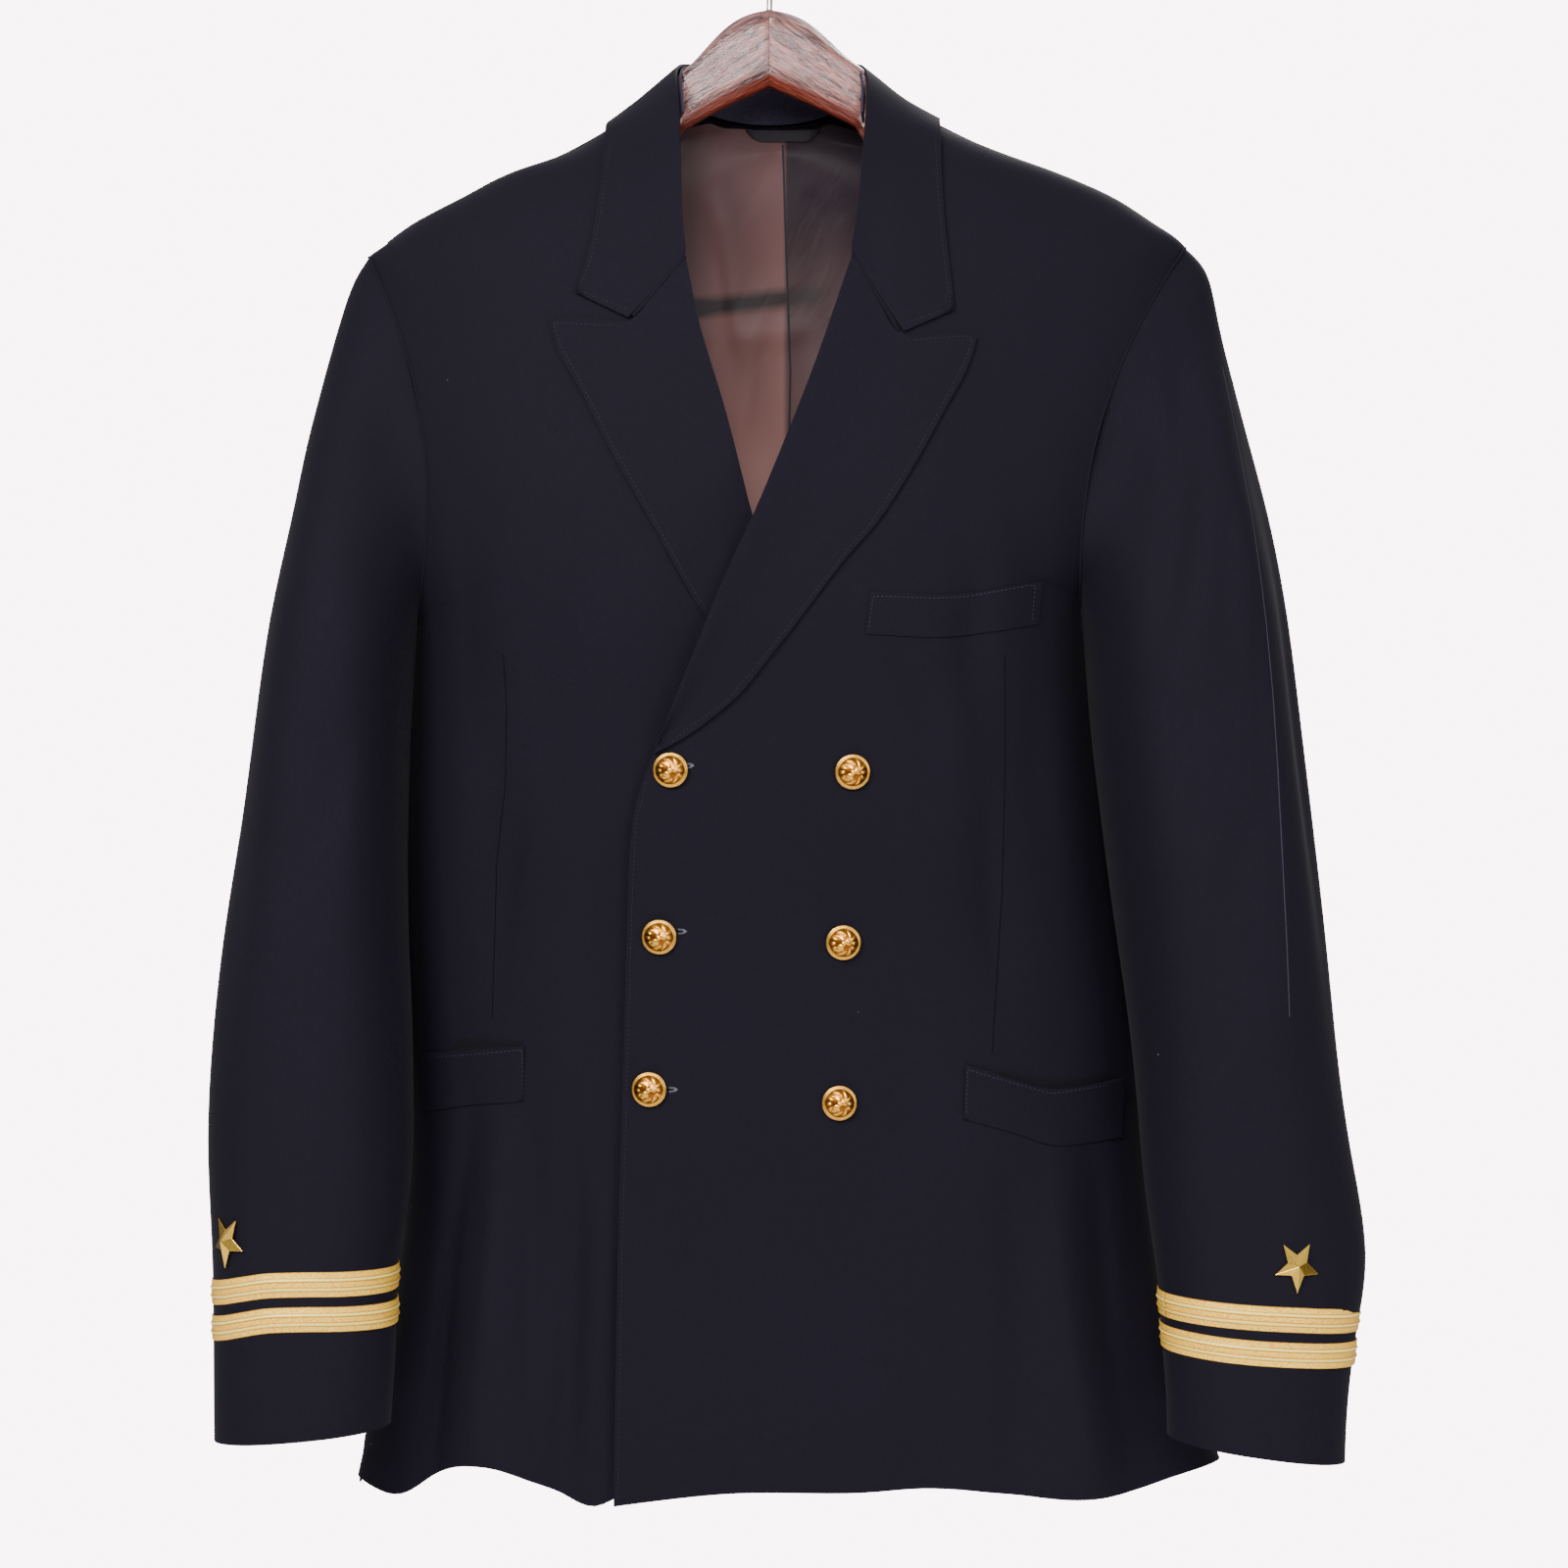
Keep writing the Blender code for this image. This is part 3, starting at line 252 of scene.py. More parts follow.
def wool_material(name, dark, light):
    """A twill between a dark and a light shade, with flecks of lint."""
    material, tree, shader = new_material(name, dark, 0.82, Sheen_Weight=0.02, Sheen_Roughness=0.4,
                                          Specular_IOR_Level=0.165)
    place = placed(tree)
    ribs = bands_on(tree, placed(tree, turn=(0, math.radians(52), 0)), WAVE_PERIOD / TWILL, 1.2, 1.0)
    weave = mixed(tree, 0.6, ribs, noise_on(tree, place, 900.0, 3.0))
    clouds = ramp(tree, noise_on(tree, place, 7.0), [(0.3, 0.55), (0.7, 1.0)])
    worn = mixed(tree, 0.35, ramp(tree, weave, [(0.2, dark), (0.85, light)]), clouds, "MULTIPLY")
    cells = add_node(tree, "ShaderNodeTexVoronoi", links=[("Vector", place), ("Scale", 42.0)])
    speck = ramp(tree, cells.outputs["Distance"], [(0.008, 1.0), (0.018, 0.0)])
    chosen = ramp(tree, cells.outputs["Color"], [(0.80, 0.0), (0.82, 1.0)])
    lint = mixed(tree, 1.0, speck, chosen, "MULTIPLY")
    tree.links.new(mixed(tree, lint, worn, (0.22, 0.22, 0.25)), shader.inputs["Base Color"])
    bumped(tree, shader, weave, 0.35, 0.0002)
    return material


wool = wool_material("navy_wool", (0.0015, 0.0010, 0.0040), (0.0061, 0.0045, 0.0130))
# The stand's wool is several times lighter than the navy wool: painted light, as the inside of the neck lies in
# shade.
stand_wool_painted_light = wool_material("stand_wool_painted_light", (0.0120, 0.0095, 0.0210), (0.046, 0.038, 0.066))
print("wool made with a twill of", TWILL / MM, "mm")

# %% [markdown]
# ### Lining, lace, gilt, wood and steel
#
# The satin lining is smooth and brown. Its right half is painted cooler and darker than its left one, painted shade,
# as the two halves of a back lining take the light differently. The lace is woven of gold thread, with two smooth
# ridges in a grained band, so its pattern follows its own length and width; its ridges carry a painted highlight and
# its grooves painted shade.

# %% Satin
satin, tree, shader = new_material("brown_satin", (0.13, 0.07, 0.065), 0.48, Sheen_Weight=0.03,
                                   Specular_IOR_Level=0.4, Sheen_Roughness=0.3, Anisotropic=0.4)
satin_axes = axes_of(tree, placed(tree))
low = ranged(tree, satin_axes["Z"], -0.16, -0.33)
# Both halves are darker at the top than lower down, and the right half is painted darker and cooler: painted shade.
left_satin = mixed(tree, low, (0.122, 0.056, 0.056), (0.37, 0.168, 0.145))
shaded_right_satin = mixed(tree, low, (0.012, 0.004, 0.010), (0.150, 0.064, 0.062))
satin_with_painted_shade = mixed(tree, ranged(tree, satin_axes["X"], 0.0072, 0.0098), left_satin, shaded_right_satin)
satin_shade = ramp(tree, noise_on(tree, placed(tree, scale=(9, 9, 5)), 1.6), [(0.3, 0.6), (0.7, 1.0)])
mottled_satin_with_shade = mixed(tree, 0.8, satin_with_painted_shade, satin_shade, "MULTIPLY")
# A pull across the lining is painted as a dark slanting band, painted shade, and the lining's outer edge is painted
# dark too, painted shade
slanted = axes_of(tree, placed(tree, turn=(0, math.radians(6.5), 0)))["Z"]
fold_shade_band = ramp(tree, ranged(tree, slanted, -0.222, -0.197), [(0.2, 0.0), (0.42, 1.0), (0.58, 1.0), (0.8, 0.0)])
fold_shade_band = mixed(tree, 1.0, fold_shade_band, ranged(tree, satin_axes["X"], 0.036, 0.024), "MULTIPLY")
painted_shade_share = mixed(tree, 0.5, fold_shade_band, ranged(tree, satin_axes["X"], -0.030, -0.044), "ADD")
# The darkest colour here is the painted shade of the band and the outer edge.
tree.links.new(mixed(tree, painted_shade_share, mottled_satin_with_shade, (0.020, 0.010, 0.012)), shader.inputs["Base Color"])
weave = noise_on(tree, placed(tree, scale=(1, 1, 0.15)), 1400.0, 1.0)
turned = placed(tree, turn=(0, math.radians(-28), 0))
wrinkles = noise_on(tree, stretched(tree, turned, (60, 60, 14)), 1.0, 2.0, 0.8)
bumped(tree, shader, mixed(tree, 0.06, wrinkles, weave), 0.4, 0.0012)

# %% Gold lace
lace_gold, tree, shader = new_material("gold_lace", (0.95, 0.62, 0.12), 0.34, 0.0,
                                       Specular_Tint=(1.0, 0.74, 0.28, 1), Specular_IOR_Level=1.0)
across = axes_of(tree, placed(tree, coordinates="UV"))["Y"]
grain = noise_on(tree, placed(tree, scale=(180, 13, 1), coordinates="UV"), 1.3)
threads = bands_on(tree, placed(tree, scale=(250, 13, 1), turn=(0, 0, math.radians(38)), coordinates="UV"),
                   0.35, 2.0)
# The two ridges are painted bright yellow: a painted highlight.
ridge_highlight = ramp(tree, across, [
    (0.26, 0.0), (0.29, 1.0), (0.33, 1.0), (0.35, 0.0), (0.64, 0.0), (0.67, 1.0), (0.71, 1.0), (0.74, 0.0)])
# The grooves beside the ridges and at both edges are painted dark: painted shade.
groove_shade = ramp(tree, across, [
    (0.0, 1.0), (0.03, 0.0), (0.22, 0.0), (0.25, 1.0), (0.27, 0.0), (0.36, 0.0), (0.39, 1.0), (0.42, 0.0),
    (0.58, 0.0), (0.61, 1.0), (0.64, 0.0), (0.73, 0.0), (0.76, 1.0), (0.79, 0.0), (0.97, 0.0), (1.0, 1.0)])
band = mixed(tree, ramp(tree, grain, [(0.38, 0.0), (0.55, 1.0)]), (0.84, 0.33, 0.02), (1.0, 0.66, 0.08))
highlit_band = mixed(tree, ridge_highlight, band, (1.0, 0.86, 0.24))
tree.links.new(mixed(tree, groove_shade, highlit_band, (0.36, 0.15, 0.015)), shader.inputs["Base Color"])
bumped(tree, shader, mixed(tree, 0.5, grain, threads), 0.5, 0.0003)

# %% Gilt for the buttons, and the stars' brushed gold
gilt, tree, shader = new_material("gilt_brass", (0.95, 0.52, 0.10), 0.3, 1.0)
wear = noise_on(tree, placed(tree), 420.0, 3.0)
gilt_worn = mixed(tree, wear, (0.90, 0.41, 0.055), (1.0, 0.56, 0.10))
relief = add_node(tree, "ShaderNodeAttribute", attribute_name="relief").outputs["Fac"]
# Low parts of the relief are painted dark brown: painted shade in the hollows.
hollow_shade_share = ramp(tree, relief, [(0.0, 0.0), (0.14, 1.0)])
tree.links.new(mixed(tree, hollow_shade_share, (0.32, 0.10, 0.012), gilt_worn), shader.inputs["Base Color"])
bumped(tree, shader, wear, 0.2, 0.0001)

BRUSHING = 0.0006
star_gold, tree, shader = new_material("star_gold", (0.95, 0.62, 0.14), 0.2, 1.0)
threads = bands_on(tree, placed(tree, turn=(0, math.radians(65), 0)), WAVE_PERIOD / BRUSHING, 1.5)
tree.links.new(mixed(tree, threads, (0.88, 0.48, 0.05), (1.0, 0.72, 0.14)), shader.inputs["Base Color"])
bumped(tree, shader, threads, 0.25, 0.0001)

# %% Steel, thread and the painted shade of the pocket mouths
steel, tree, shader = new_material("hook_steel", (0.66, 0.66, 0.67), 0.2, 1.0)
bumped(tree, shader, noise_on(tree, placed(tree, scale=(1, 1, 0.1)), 900.0), 0.1, 0.0001)


def thread_material(name, dark, light, gloss=0.25):
    """A twisted thread or tape between a dark and a light shade."""
    material, tree, shader = new_material(name, dark, 0.75, Specular_IOR_Level=gloss)
    tree.links.new(mixed(tree, noise_on(tree, placed(tree), 1500.0), dark, light), shader.inputs["Base Color"])
    return material


navy_thread = thread_material("navy_thread", (0.006, 0.005, 0.010), (0.026, 0.022, 0.040))
grey_thread = thread_material("grey_thread", (0.05, 0.05, 0.065), (0.20, 0.20, 0.25))
welt_thread = thread_material("welt_thread", (0.014, 0.012, 0.022), (0.050, 0.044, 0.070))
# A darker wool, painted shade for the pocket mouths.
painted_mouth_shade = wool_material("painted_mouth_shade", (0.0009, 0.0007, 0.0020), (0.0040, 0.0031, 0.0076))
dark_tape = thread_material("loop_tape", (0.012, 0.011, 0.015), (0.035, 0.031, 0.036))
pocket_dark = thread_material("pocket_lining", (0.0012, 0.0011, 0.0018), (0.0026, 0.0024, 0.0036), 0.0)

# %% [markdown]
# ### Lacquered mahogany
#
# The hanger is made of two halves, mitred in the middle, so the grain runs down to each side like the
# bars of a chevron. Each half has its own turned coordinates. Stretched noise draws the grain, and a
# finer one the open pores, all under a glossy lacquer, which is the shader's coat.


# %% Wood
def wood_material(name, slant):
    """Lacquered wood with its grain slanting by an angle."""
    material, tree, shader = new_material(name, (0.10, 0.022, 0.016), 0.34, Coat_Weight=0.8, Coat_Roughness=0.2)
    turned = placed(tree, turn=(0, slant, 0))
    grain = noise_on(tree, stretched(tree, turned, (14, 120, 120)), 2.4, 5.0, 0.6)
    pores = noise_on(tree, stretched(tree, turned, (90, 620, 620)), 1.5, 3.0)
    colour = mixed(tree, ramp(tree, grain, [(0.35, 0.0), (0.68, 1.0)]), (0.034, 0.007, 0.006), (0.34, 0.125, 0.105))
    pored = mixed(tree, ramp(tree, pores, [(0.30, 1.0), (0.42, 0.0)]), colour, (0.022, 0.006, 0.005))
    # Faces turned downwards are painted a purer red: painted light on the underside.
    facing = axes_of(tree, add_node(tree, "ShaderNodeTexCoord").outputs["Normal"])["Z"]
    underside_painted_light = mixed(tree, ranged(tree, facing, -0.3, -0.75), pored, (0.19, 0.026, 0.009))
    tree.links.new(underside_painted_light, shader.inputs["Base Color"])
    bumped(tree, shader, mixed(tree, 0.6, grain, pores), 0.9, 0.0011)
    tree.links.new(shader.inputs["Normal"].links[0].from_socket, shader.inputs["Coat Normal"])
    return material


GRAIN_SLANT = math.radians(33)
right_wood = wood_material("mahogany_right", GRAIN_SLANT)
left_wood = wood_material("mahogany_left", -GRAIN_SLANT)

# %% [markdown]
# ## Cloth from the cut pieces
#
# Each piece of cloth starts as a copy of its solid. The copy is merged, its triangles are joined to
# quads, and it is rounded by a subdivision surface that keeps the cut edges. A subdivision surface
# lies a little inside its cage, so the cage is first pushed out by what it would lose, twice over.


# %% A fine copy of a solid
def points_of(vertices):
    """Places of vertices in millimetres, as the rows of an array."""
    return np.array([vertex.co for vertex in vertices]) / MM


def cage_of(node):
    """A merged copy of a node in quads."""
    shape = bmesh.new()
    shape.from_mesh(nodes[node].data)
    bmesh.ops.remove_doubles(shape, verts=shape.verts, dist=0.000002)
    bmesh.ops.join_triangles(shape, faces=shape.faces, angle_face_threshold=math.radians(40),
                             angle_shape_threshold=math.radians(70))
    return shape


def rounded(mesh, levels):
    """The mesh after a subdivision surface, as a new mesh."""
    work = link(bpy.data.objects.new("work", mesh))
    surface = work.modifiers.new("rounding", "SUBSURF")
    surface.levels = levels
    surface.render_levels = levels
    fine = bpy.data.meshes.new_from_object(work.evaluated_get(bpy.context.evaluated_depsgraph_get()))
    bpy.data.objects.remove(work)
    return fine


def fine_copy(node, levels=2, keep_angle=50):
    """A rounded copy of a node that passes through its points and keeps its sharp edges."""
    shape = cage_of(node)
    kept = shape.edges.layers.float.new("crease_edge")
    for edge in shape.edges:
        if len(edge.link_faces) == 2 and edge.calc_face_angle() > math.radians(keep_angle):
            edge[kept] = 1.0
    mesh = bpy.data.meshes.new("cage")
    shape.to_mesh(mesh)
    shape.free()
    count = len(mesh.vertices)
    goal = np.empty(count * 3)
    mesh.vertices.foreach_get("co", goal)
    cage = goal.copy()
    for _ in range(2):
        mesh.vertices.foreach_set("co", cage)
        mesh.update()
        once = rounded(mesh, levels)
        reached = np.empty(len(once.vertices) * 3)
        once.vertices.foreach_get("co", reached)
        bpy.data.meshes.remove(once)
        cage = cage + (goal - reached[:count * 3])
    mesh.vertices.foreach_set("co", cage)
    mesh.update()
    fine = rounded(mesh, levels)
    bpy.data.meshes.remove(mesh)
    shape = bmesh.new()
    shape.from_mesh(fine)
    bpy.data.meshes.remove(fine)
    return shape


# %% Finishing a piece
def finish_piece(name, shape, material, stands_for=(), smooth=True):
    """Puts a shape into the scene as a finished piece on the one body."""
    mesh = bpy.data.meshes.new(name)
    shape.to_mesh(mesh)
    shape.free()
    mesh.materials.clear()
    mesh.materials.append(material)
    if smooth:
        mesh.shade_smooth()
        mesh.set_sharp_from_angle(angle=math.radians(40))
    piece = link(bpy.data.objects.new(name, mesh))
    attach(piece, "root")
    if stands_for:
        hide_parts(*stands_for)
    return piece


def cloth_area(piece):
    """Area of one side of a thin wall, in square metres."""
    return sum(face.area for face in piece.data.polygons) / 2


# %% [markdown]
# ## Creases
#
# Pressed wool on a hanger has few creases, and they are long, shallow and uneven. A table gives each
# one its two ends, its half width and its rise. A crease is deepest in its middle, fades out at its
# ends, and a slow noise keeps it from looking ruled. All that lies on the body moves by the same
# amount, so a lapel stays on its front.

# %% Creases of the body
FRONT_CREASES = (
    # x and z of the upper end, x and z of the lower end, half width, rise outwards, in millimetres
    (-150, -330, -172, -470, 16, -1.8),
    (-120, -300, -150, -420, 14, 1.0),
    (-108, -330, -118, -500, 9, -1.0),
    (-128, -470, -146, -600, 4, -1.0),
    (-158, -642, -182, -872, 5, -5.0),
    (-146, -650, -158, -876, 8, 4.4),
    (-128, -640, -126, -850, 7, -2.8),
    (-104, -640, -108, -876, 7, -4.0),
    (-90, -690, -89, -876, 8, 3.2),
    (-40, -520, -46, -700, 22, 0.9),
    (60, -520, 72, -820, 24, -1.2),
    (70, -400, 84, -470, 9, -1.1),
    (96, -402, 100, -480, 7, 1.0),
    (122, -300, 150, -430, 15, -1.5),
    (144, -405, 146, -550, 9, -1.6),
    (112, -470, 124, -610, 4, -1.0),
    (150, -660, 178, -870, 9, 3.4),
    (168, -664, 194, -860, 7, -4.2),
    (128, -680, 132, -872, 10, -2.8),
    (88, -720, 92, -864, 10, 1.4),
    (0, -690, 12, -850, 26, 1.0),
)
BACK_CREASES = (
    (-60, -210, -88, -330, 16, -1.2),
    (64, -210, 90, -330, 16, -1.2),
    (-150, -300, -128, -450, 15, -1.6),
    (150, -300, 130, -450, 15, -1.6),
    (-20, -420, -30, -640, 24, 1.0),
    (26, -470, 34, -690, 24, -1.0),
    (-120, -560, -130, -840, 20, 1.2),
    (118, -560, 132, -840, 20, 1.2),
)


def crease_rise(table, x, z):
    """How far the creases move the cloth outwards, at places in millimetres."""
    total = np.zeros_like(x)
    for x_top, z_top, x_foot, z_foot, width, rise in table:
        run = np.array([x_foot - x_top, z_foot - z_top], float)
        length = float(np.hypot(*run))
        run = run / length
        along = ((x - x_top) * run[0] + (z - z_top) * run[1]) / length
        aside = (x - x_top) * run[1] - (z - z_top) * run[0]
        wander = 0.35 * width * np.sin(along * 5 + x_top)
        fade = np.sin(np.pi * np.clip(along, 0, 1)) ** 0.8
        total += rise * fade * np.exp(-((aside - wander) / width) ** 2)
    return total


def soft_unevenness(x, z, size):
    """A slow noise over the cloth, longer downwards than across, from about -1 to 1."""
    return np.array([noise.noise(Vector((a / size, 7.3, b / (size * 2.2)))) for a, b in zip(x, z)])


def body_rise(x, z, face):
    """Outward move of the body's cloth in millimetres. It fades towards the side seams."""
    table = FRONT_CREASES if face == "front" else BACK_CREASES
    reach = np.interp(-z, (0, 500, 620, 900), (172, 176, 192, 206))
    fade = np.clip((reach - np.abs(x - 2)) / 14, 0, 1)
    fade = fade * np.clip((-150 - z) / 60, 0, 1)
    return fade * (crease_rise(table, x, z) + 0.9 * soft_unevenness(x, z, 60))


# The body's greatest reach to each side, by height, from the back's own solid
back_cage = points_of(nodes["back"].data.vertices)
SIDE_HEIGHTS = np.arange(-860, -380, 10)
SIDE_REACH = {way: np.array([max((back_cage[np.abs(back_cage[:, 2] - z) < 16][:, 0] * way).tolist() or [0])
                             for z in SIDE_HEIGHTS]) for way in (-1, 1)}


def tuck_behind(points):
    """Draws the body's sides out and back behind the sleeves, where the solids keep a gap."""
    moves = np.zeros_like(points)
    for way in (-1, 1):
        known = SIDE_REACH[way] > 100
        reach = np.interp(points[:, 2], SIDE_HEIGHTS[known], SIDE_REACH[way][known])
        near = np.exp(-((reach - points[:, 0] * way) / 11) ** 2)
        near = near * np.clip((-366 - points[:, 2]) / 34, 0, 1) * np.clip((points[:, 2] + 690) / 80, 0, 1)
        moves[:, 0] += way * 4.8 * near
        moves[:, 1] += 9 * near
    return moves


def move_body(shape, face):
    """Moves a body piece by the creases of its face."""
    shape.verts.ensure_lookup_table()
    points = points_of(shape.verts)
    rise = body_rise(points[:, 0], points[:, 2], face)
    way = -MM if face == "front" else MM
    for vertex, amount, move in zip(shape.verts, rise, tuck_behind(points)):
        vertex.co += Vector(move) * MM
        vertex.co.y += way * float(amount)
    return float(np.abs(rise).max())


def lay_flat(shape, share):
    """Presses a welt down on to the fronts, to a share of the height of its solid."""
    for vertex in shape.verts:
        hit, _, _, _ = fronts_tree.ray_cast(Vector((vertex.co.x, -0.4, vertex.co.z)), Vector((0, 1, 0)))
        if hit is not None:
            vertex.co.y = hit.y + (vertex.co.y - hit.y) * share


# %% Fronts, back, lapels and welts
BODY_PIECES = (
    # node, face, rounding levels
    ("front_left", "front", 2),
    ("front_right", "front", 2),
    ("back", "back", 2),
    ("lapel_left", "front", 3),
    ("lapel_right", "front", 3),
    ("breast_welt", "front", 2),
    ("pocket_welt_left", "front", 2),
    ("pocket_welt_right", "front", 2),
)
WELT_HEIGHT_KEPT = 0.38
made = {}
for node, face, levels in BODY_PIECES:
    shape = fine_copy(node, levels)
    most = move_body(shape, face)
    if "welt" in node:
        lay_flat(shape, WELT_HEIGHT_KEPT)
    made[node] = finish_piece("wool_" + node, shape, wool, (node,))
    print(node, len(made[node].data.polygons), "faces, creases up to", round(most, 1), "mm")
    if node == "front_right":
        fronts = bmesh.new()
        for name in ("front_left", "front_right"):
            fronts.from_mesh(made[name].data)
        fronts_tree = BVHTree.FromBMesh(fronts)
        fronts.free()

# %% Collar and stand
COLLAR_SPREAD = 2.9     # millimetres
for node in ("collar", "collar_stand"):
    shape = fine_copy(node, 2)
    for vertex in shape.verts:
        x, z = vertex.co.x / MM, vertex.co.z / MM
        spread = COLLAR_SPREAD * math.exp(-((z + 90) / 24) ** 2) * min(max((abs(x) - 20) / 22, 0), 1)
        vertex.co.x += math.copysign(spread * MM, x)
    # The collar stand takes the lighter wool, painted light.
    cloth = stand_wool_painted_light if node == "collar_stand" else wool
    made[node] = finish_piece("wool_" + node, shape, cloth, (node,))

# %% [markdown]
# ## Sleeves
#
# A sleeve hangs as a bent tube. Its creases are drawn as seen from the front or from behind, and move
# the cloth away from the sleeve's own middle line. The upper sleeve on the right of the photo has a
# pressed edge down its outer side; both have a soft trough below the shoulder.

# %% Creases of the sleeves
SLEEVE_AXIS = {
    # height, x, y of the sleeve's middle line
    "right": ((-196, -203, -4), (-395, -228, -11), (-600, -242, -30), (-830, -246, -62)),
    "left": ((-191, 205, -4), (-395, 222, -11), (-600, 242, -30), (-830, 256, -62)),
}
SLEEVE_CREASES = {
    ("left", "front"): (
        (232, -250, 258, -400, 7, 1.4),
        (250, -330, 266, -560, 6, -1.6),
        (222, -240, 203, -420, 8, -3.2),
        (236, -246, 224, -430, 9, 1.8),
        (205, -430, 226, -520, 9, -1.2),
        (262, -470, 232, -560, 9, -1.0),
        (255, -570, 240, -660, 12, 1.0),
    ),
    ("left", "back"): (
        (226, -260, 240, -420, 12, -1.4), (262, -460, 232, -560, 10, -1.5), (226, -560, 262, -660, 11, -1.2),
    ),
    ("right", "front"): (
        (-226, -240, -236, -380, 12, -1.6),
        (-246, -330, -262, -520, 10, 1.0),
        (-210, -400, -226, -520, 11, -1.5),
        (-262, -480, -232, -580, 9, -1.2),
        (-222, -560, -258, -660, 12, -1.0),
    ),
    ("right", "back"): (
        (-226, -260, -242, -420, 12, -1.4), (-262, -470, -236, -570, 10, -1.5),
        (-226, -580, -262, -680, 11, -1.2),
    ),
}


# %% The armhole line
ARMHOLES = {
    # shoulder tip x z, underarm x z, how far the line curves in, and the way out of the sleeve
    "right": (-215.5, -196, -189, -395, 20, -1),
    "left": (224, -191, 166.5, -385, -20, 1),
}


def armhole_point(side, degrees):
    """Place across and height on an armhole, by its angle from the shoulder tip over the front."""
    tip_x, tip_z, foot_x, foot_z, dip, _ = ARMHOLES[side]
    turn = math.radians(degrees)
    x = (tip_x + foot_x) / 2 + (tip_x - foot_x) / 2 * math.cos(turn) + dip * math.sin(turn) ** 2
    return x, (tip_z + foot_z) / 2 + (tip_z - foot_z) / 2 * math.cos(turn)


def seam_gap(degrees):
    """Width of the gap that the solids keep at the armhole."""
    return 0.8 * (1 + 1.8 * max(0.0, math.cos(math.radians(degrees))) ** 2)


def close_armhole(shape, side):
    """Draws the head of a sleeve up to its armhole, so that the seam is tight."""
    line = [(*armhole_point(side, degrees), seam_gap(degrees)) for degrees in range(0, 181, 3)]
    line = np.array(line)
    way = ARMHOLES[side][5]
    for vertex in shape.verts:
        far = np.hypot(line[:, 0] - vertex.co.x / MM, line[:, 1] - vertex.co.z / MM)
        near = int(np.argmin(far))
        share = math.exp(-(far[near] / 14) ** 2)
        vertex.co.x -= way * MM * (line[near, 2] - 0.25) * share


PRESSED_EDGE = (
    # z and x of the pressed edge down the left sleeve, seen from the front
    (-600, 268.4), (-563, 267.2), (-478, 263.6), (-434, 261.2),
    (-396, 258.2), (-340, 252.6), (-292, 246.6), (-257.6, 241.4),
)
PRESSED_RISE = 2.8


def pressed_edge(x, z):
    """Rise of the left sleeve's pressed edge: gentle on the inner side, steep on the outer one."""
    heights, places = zip(*PRESSED_EDGE)
    aside = x - np.interp(z, heights, places)
    fade = np.clip((-246 - z) / 40, 0, 1) * np.clip((z + 640) / 120, 0, 1)
    inner = np.exp(-(aside / 13) ** 2)
    outer = np.exp(-(aside / 5.5) ** 2)
    return PRESSED_RISE * fade * np.where(aside < 0, inner, outer)


def move_sleeve(shape, side):
    """Moves a sleeve piece by its creases, away from the sleeve's middle line."""
    points = points_of(shape.verts)
    heights, axis_x, axis_y = [np.array(column)[::-1] for column in zip(*SLEEVE_AXIS[side])]
    away_x = points[:, 0] - np.interp(points[:, 2], heights, axis_x)
    away_y = points[:, 1] - np.interp(points[:, 2], heights, axis_y)
    far = np.maximum(np.hypot(away_x, away_y), 1)
    front = np.clip(0.5 - away_y / 50, 0, 1)
    rise = front * crease_rise(SLEEVE_CREASES[side, "front"], points[:, 0], points[:, 2])
    rise += (1 - front) * crease_rise(SLEEVE_CREASES[side, "back"], points[:, 0], points[:, 2])
    rise += 0.8 * soft_unevenness(points[:, 0], points[:, 2], 45)
    inner = away_x if side == "left" else -away_x
    fade = np.clip((inner + 46) / 22, 0, 1) * np.clip((-205 - points[:, 2]) / 60, 0, 1)
    fade = fade * np.clip((points[:, 2] + 705) / 50, 0, 1)
    rise = rise * fade
    if side == "left":
        for vertex, amount in zip(shape.verts, front * pressed_edge(points[:, 0], points[:, 2])):
            vertex.co.y -= MM * float(amount)
    for vertex, x, y, amount in zip(shape.verts, away_x / far, away_y / far, rise):
        vertex.co.x += MM * float(x * amount)
        vertex.co.y += MM * float(y * amount)
    return float(np.abs(rise).max())


for side in ("left", "right"):
    for half in ("top", "under"):
        node = half + "_sleeve_" + side
        shape = fine_copy(node, 3 if node == "top_sleeve_left" else 2)
        most = move_sleeve(shape, side)
        close_armhole(shape, side)
        made[node] = finish_piece("wool_" + node, shape, wool, (node,))
        print(node, len(made[node].data.polygons), "faces, creases up to", round(most, 1), "mm")

# %% [markdown]
# ## Lining
#
# Through the neck the lining of the back shows. It hangs loose, so it has a few soft slanting pulls
# and a sag across it. Its centre seam is a narrow tuck, and shows as a dark line.

# %% Back lining
LINING_CREASES = (
    (-34, -150, -12, -250, 5, 1.2),
    (-24, -170, -34, -300, 6, -1.3),
    (-8, -200, -16, -330, 6, 1.1),
    (22, -150, 34, -260, 6, -1.2),
    (30, -210, 18, -330, 6, 1.2),
    (-45, -232, 34, -226, 6, 0.6),
)
lining_shape = fine_copy("back_lining", 3)
lining_points = points_of(lining_shape.verts)
lining_fade = np.clip((-128 - lining_points[:, 2]) / 30, 0, 1) * np.clip((lining_points[:, 2] + 395) / 30, 0, 1)
lining_rise = lining_fade * crease_rise(LINING_CREASES, lining_points[:, 0], lining_points[:, 2])
for vertex, amount in zip(lining_shape.verts, lining_rise):
    vertex.co.y -= MM * max(float(amount), -0.3)
made["back_lining"] = finish_piece("satin_back_lining", lining_shape, satin, ("back_lining",))

# %% [markdown]
# ## Hanger and hook
#
# The hanger's copy keeps the small bevels of its edges, and is then cut in two by a plane at its
# middle. The cut halves are closed again and their edges are eased, which draws the mitre joint.

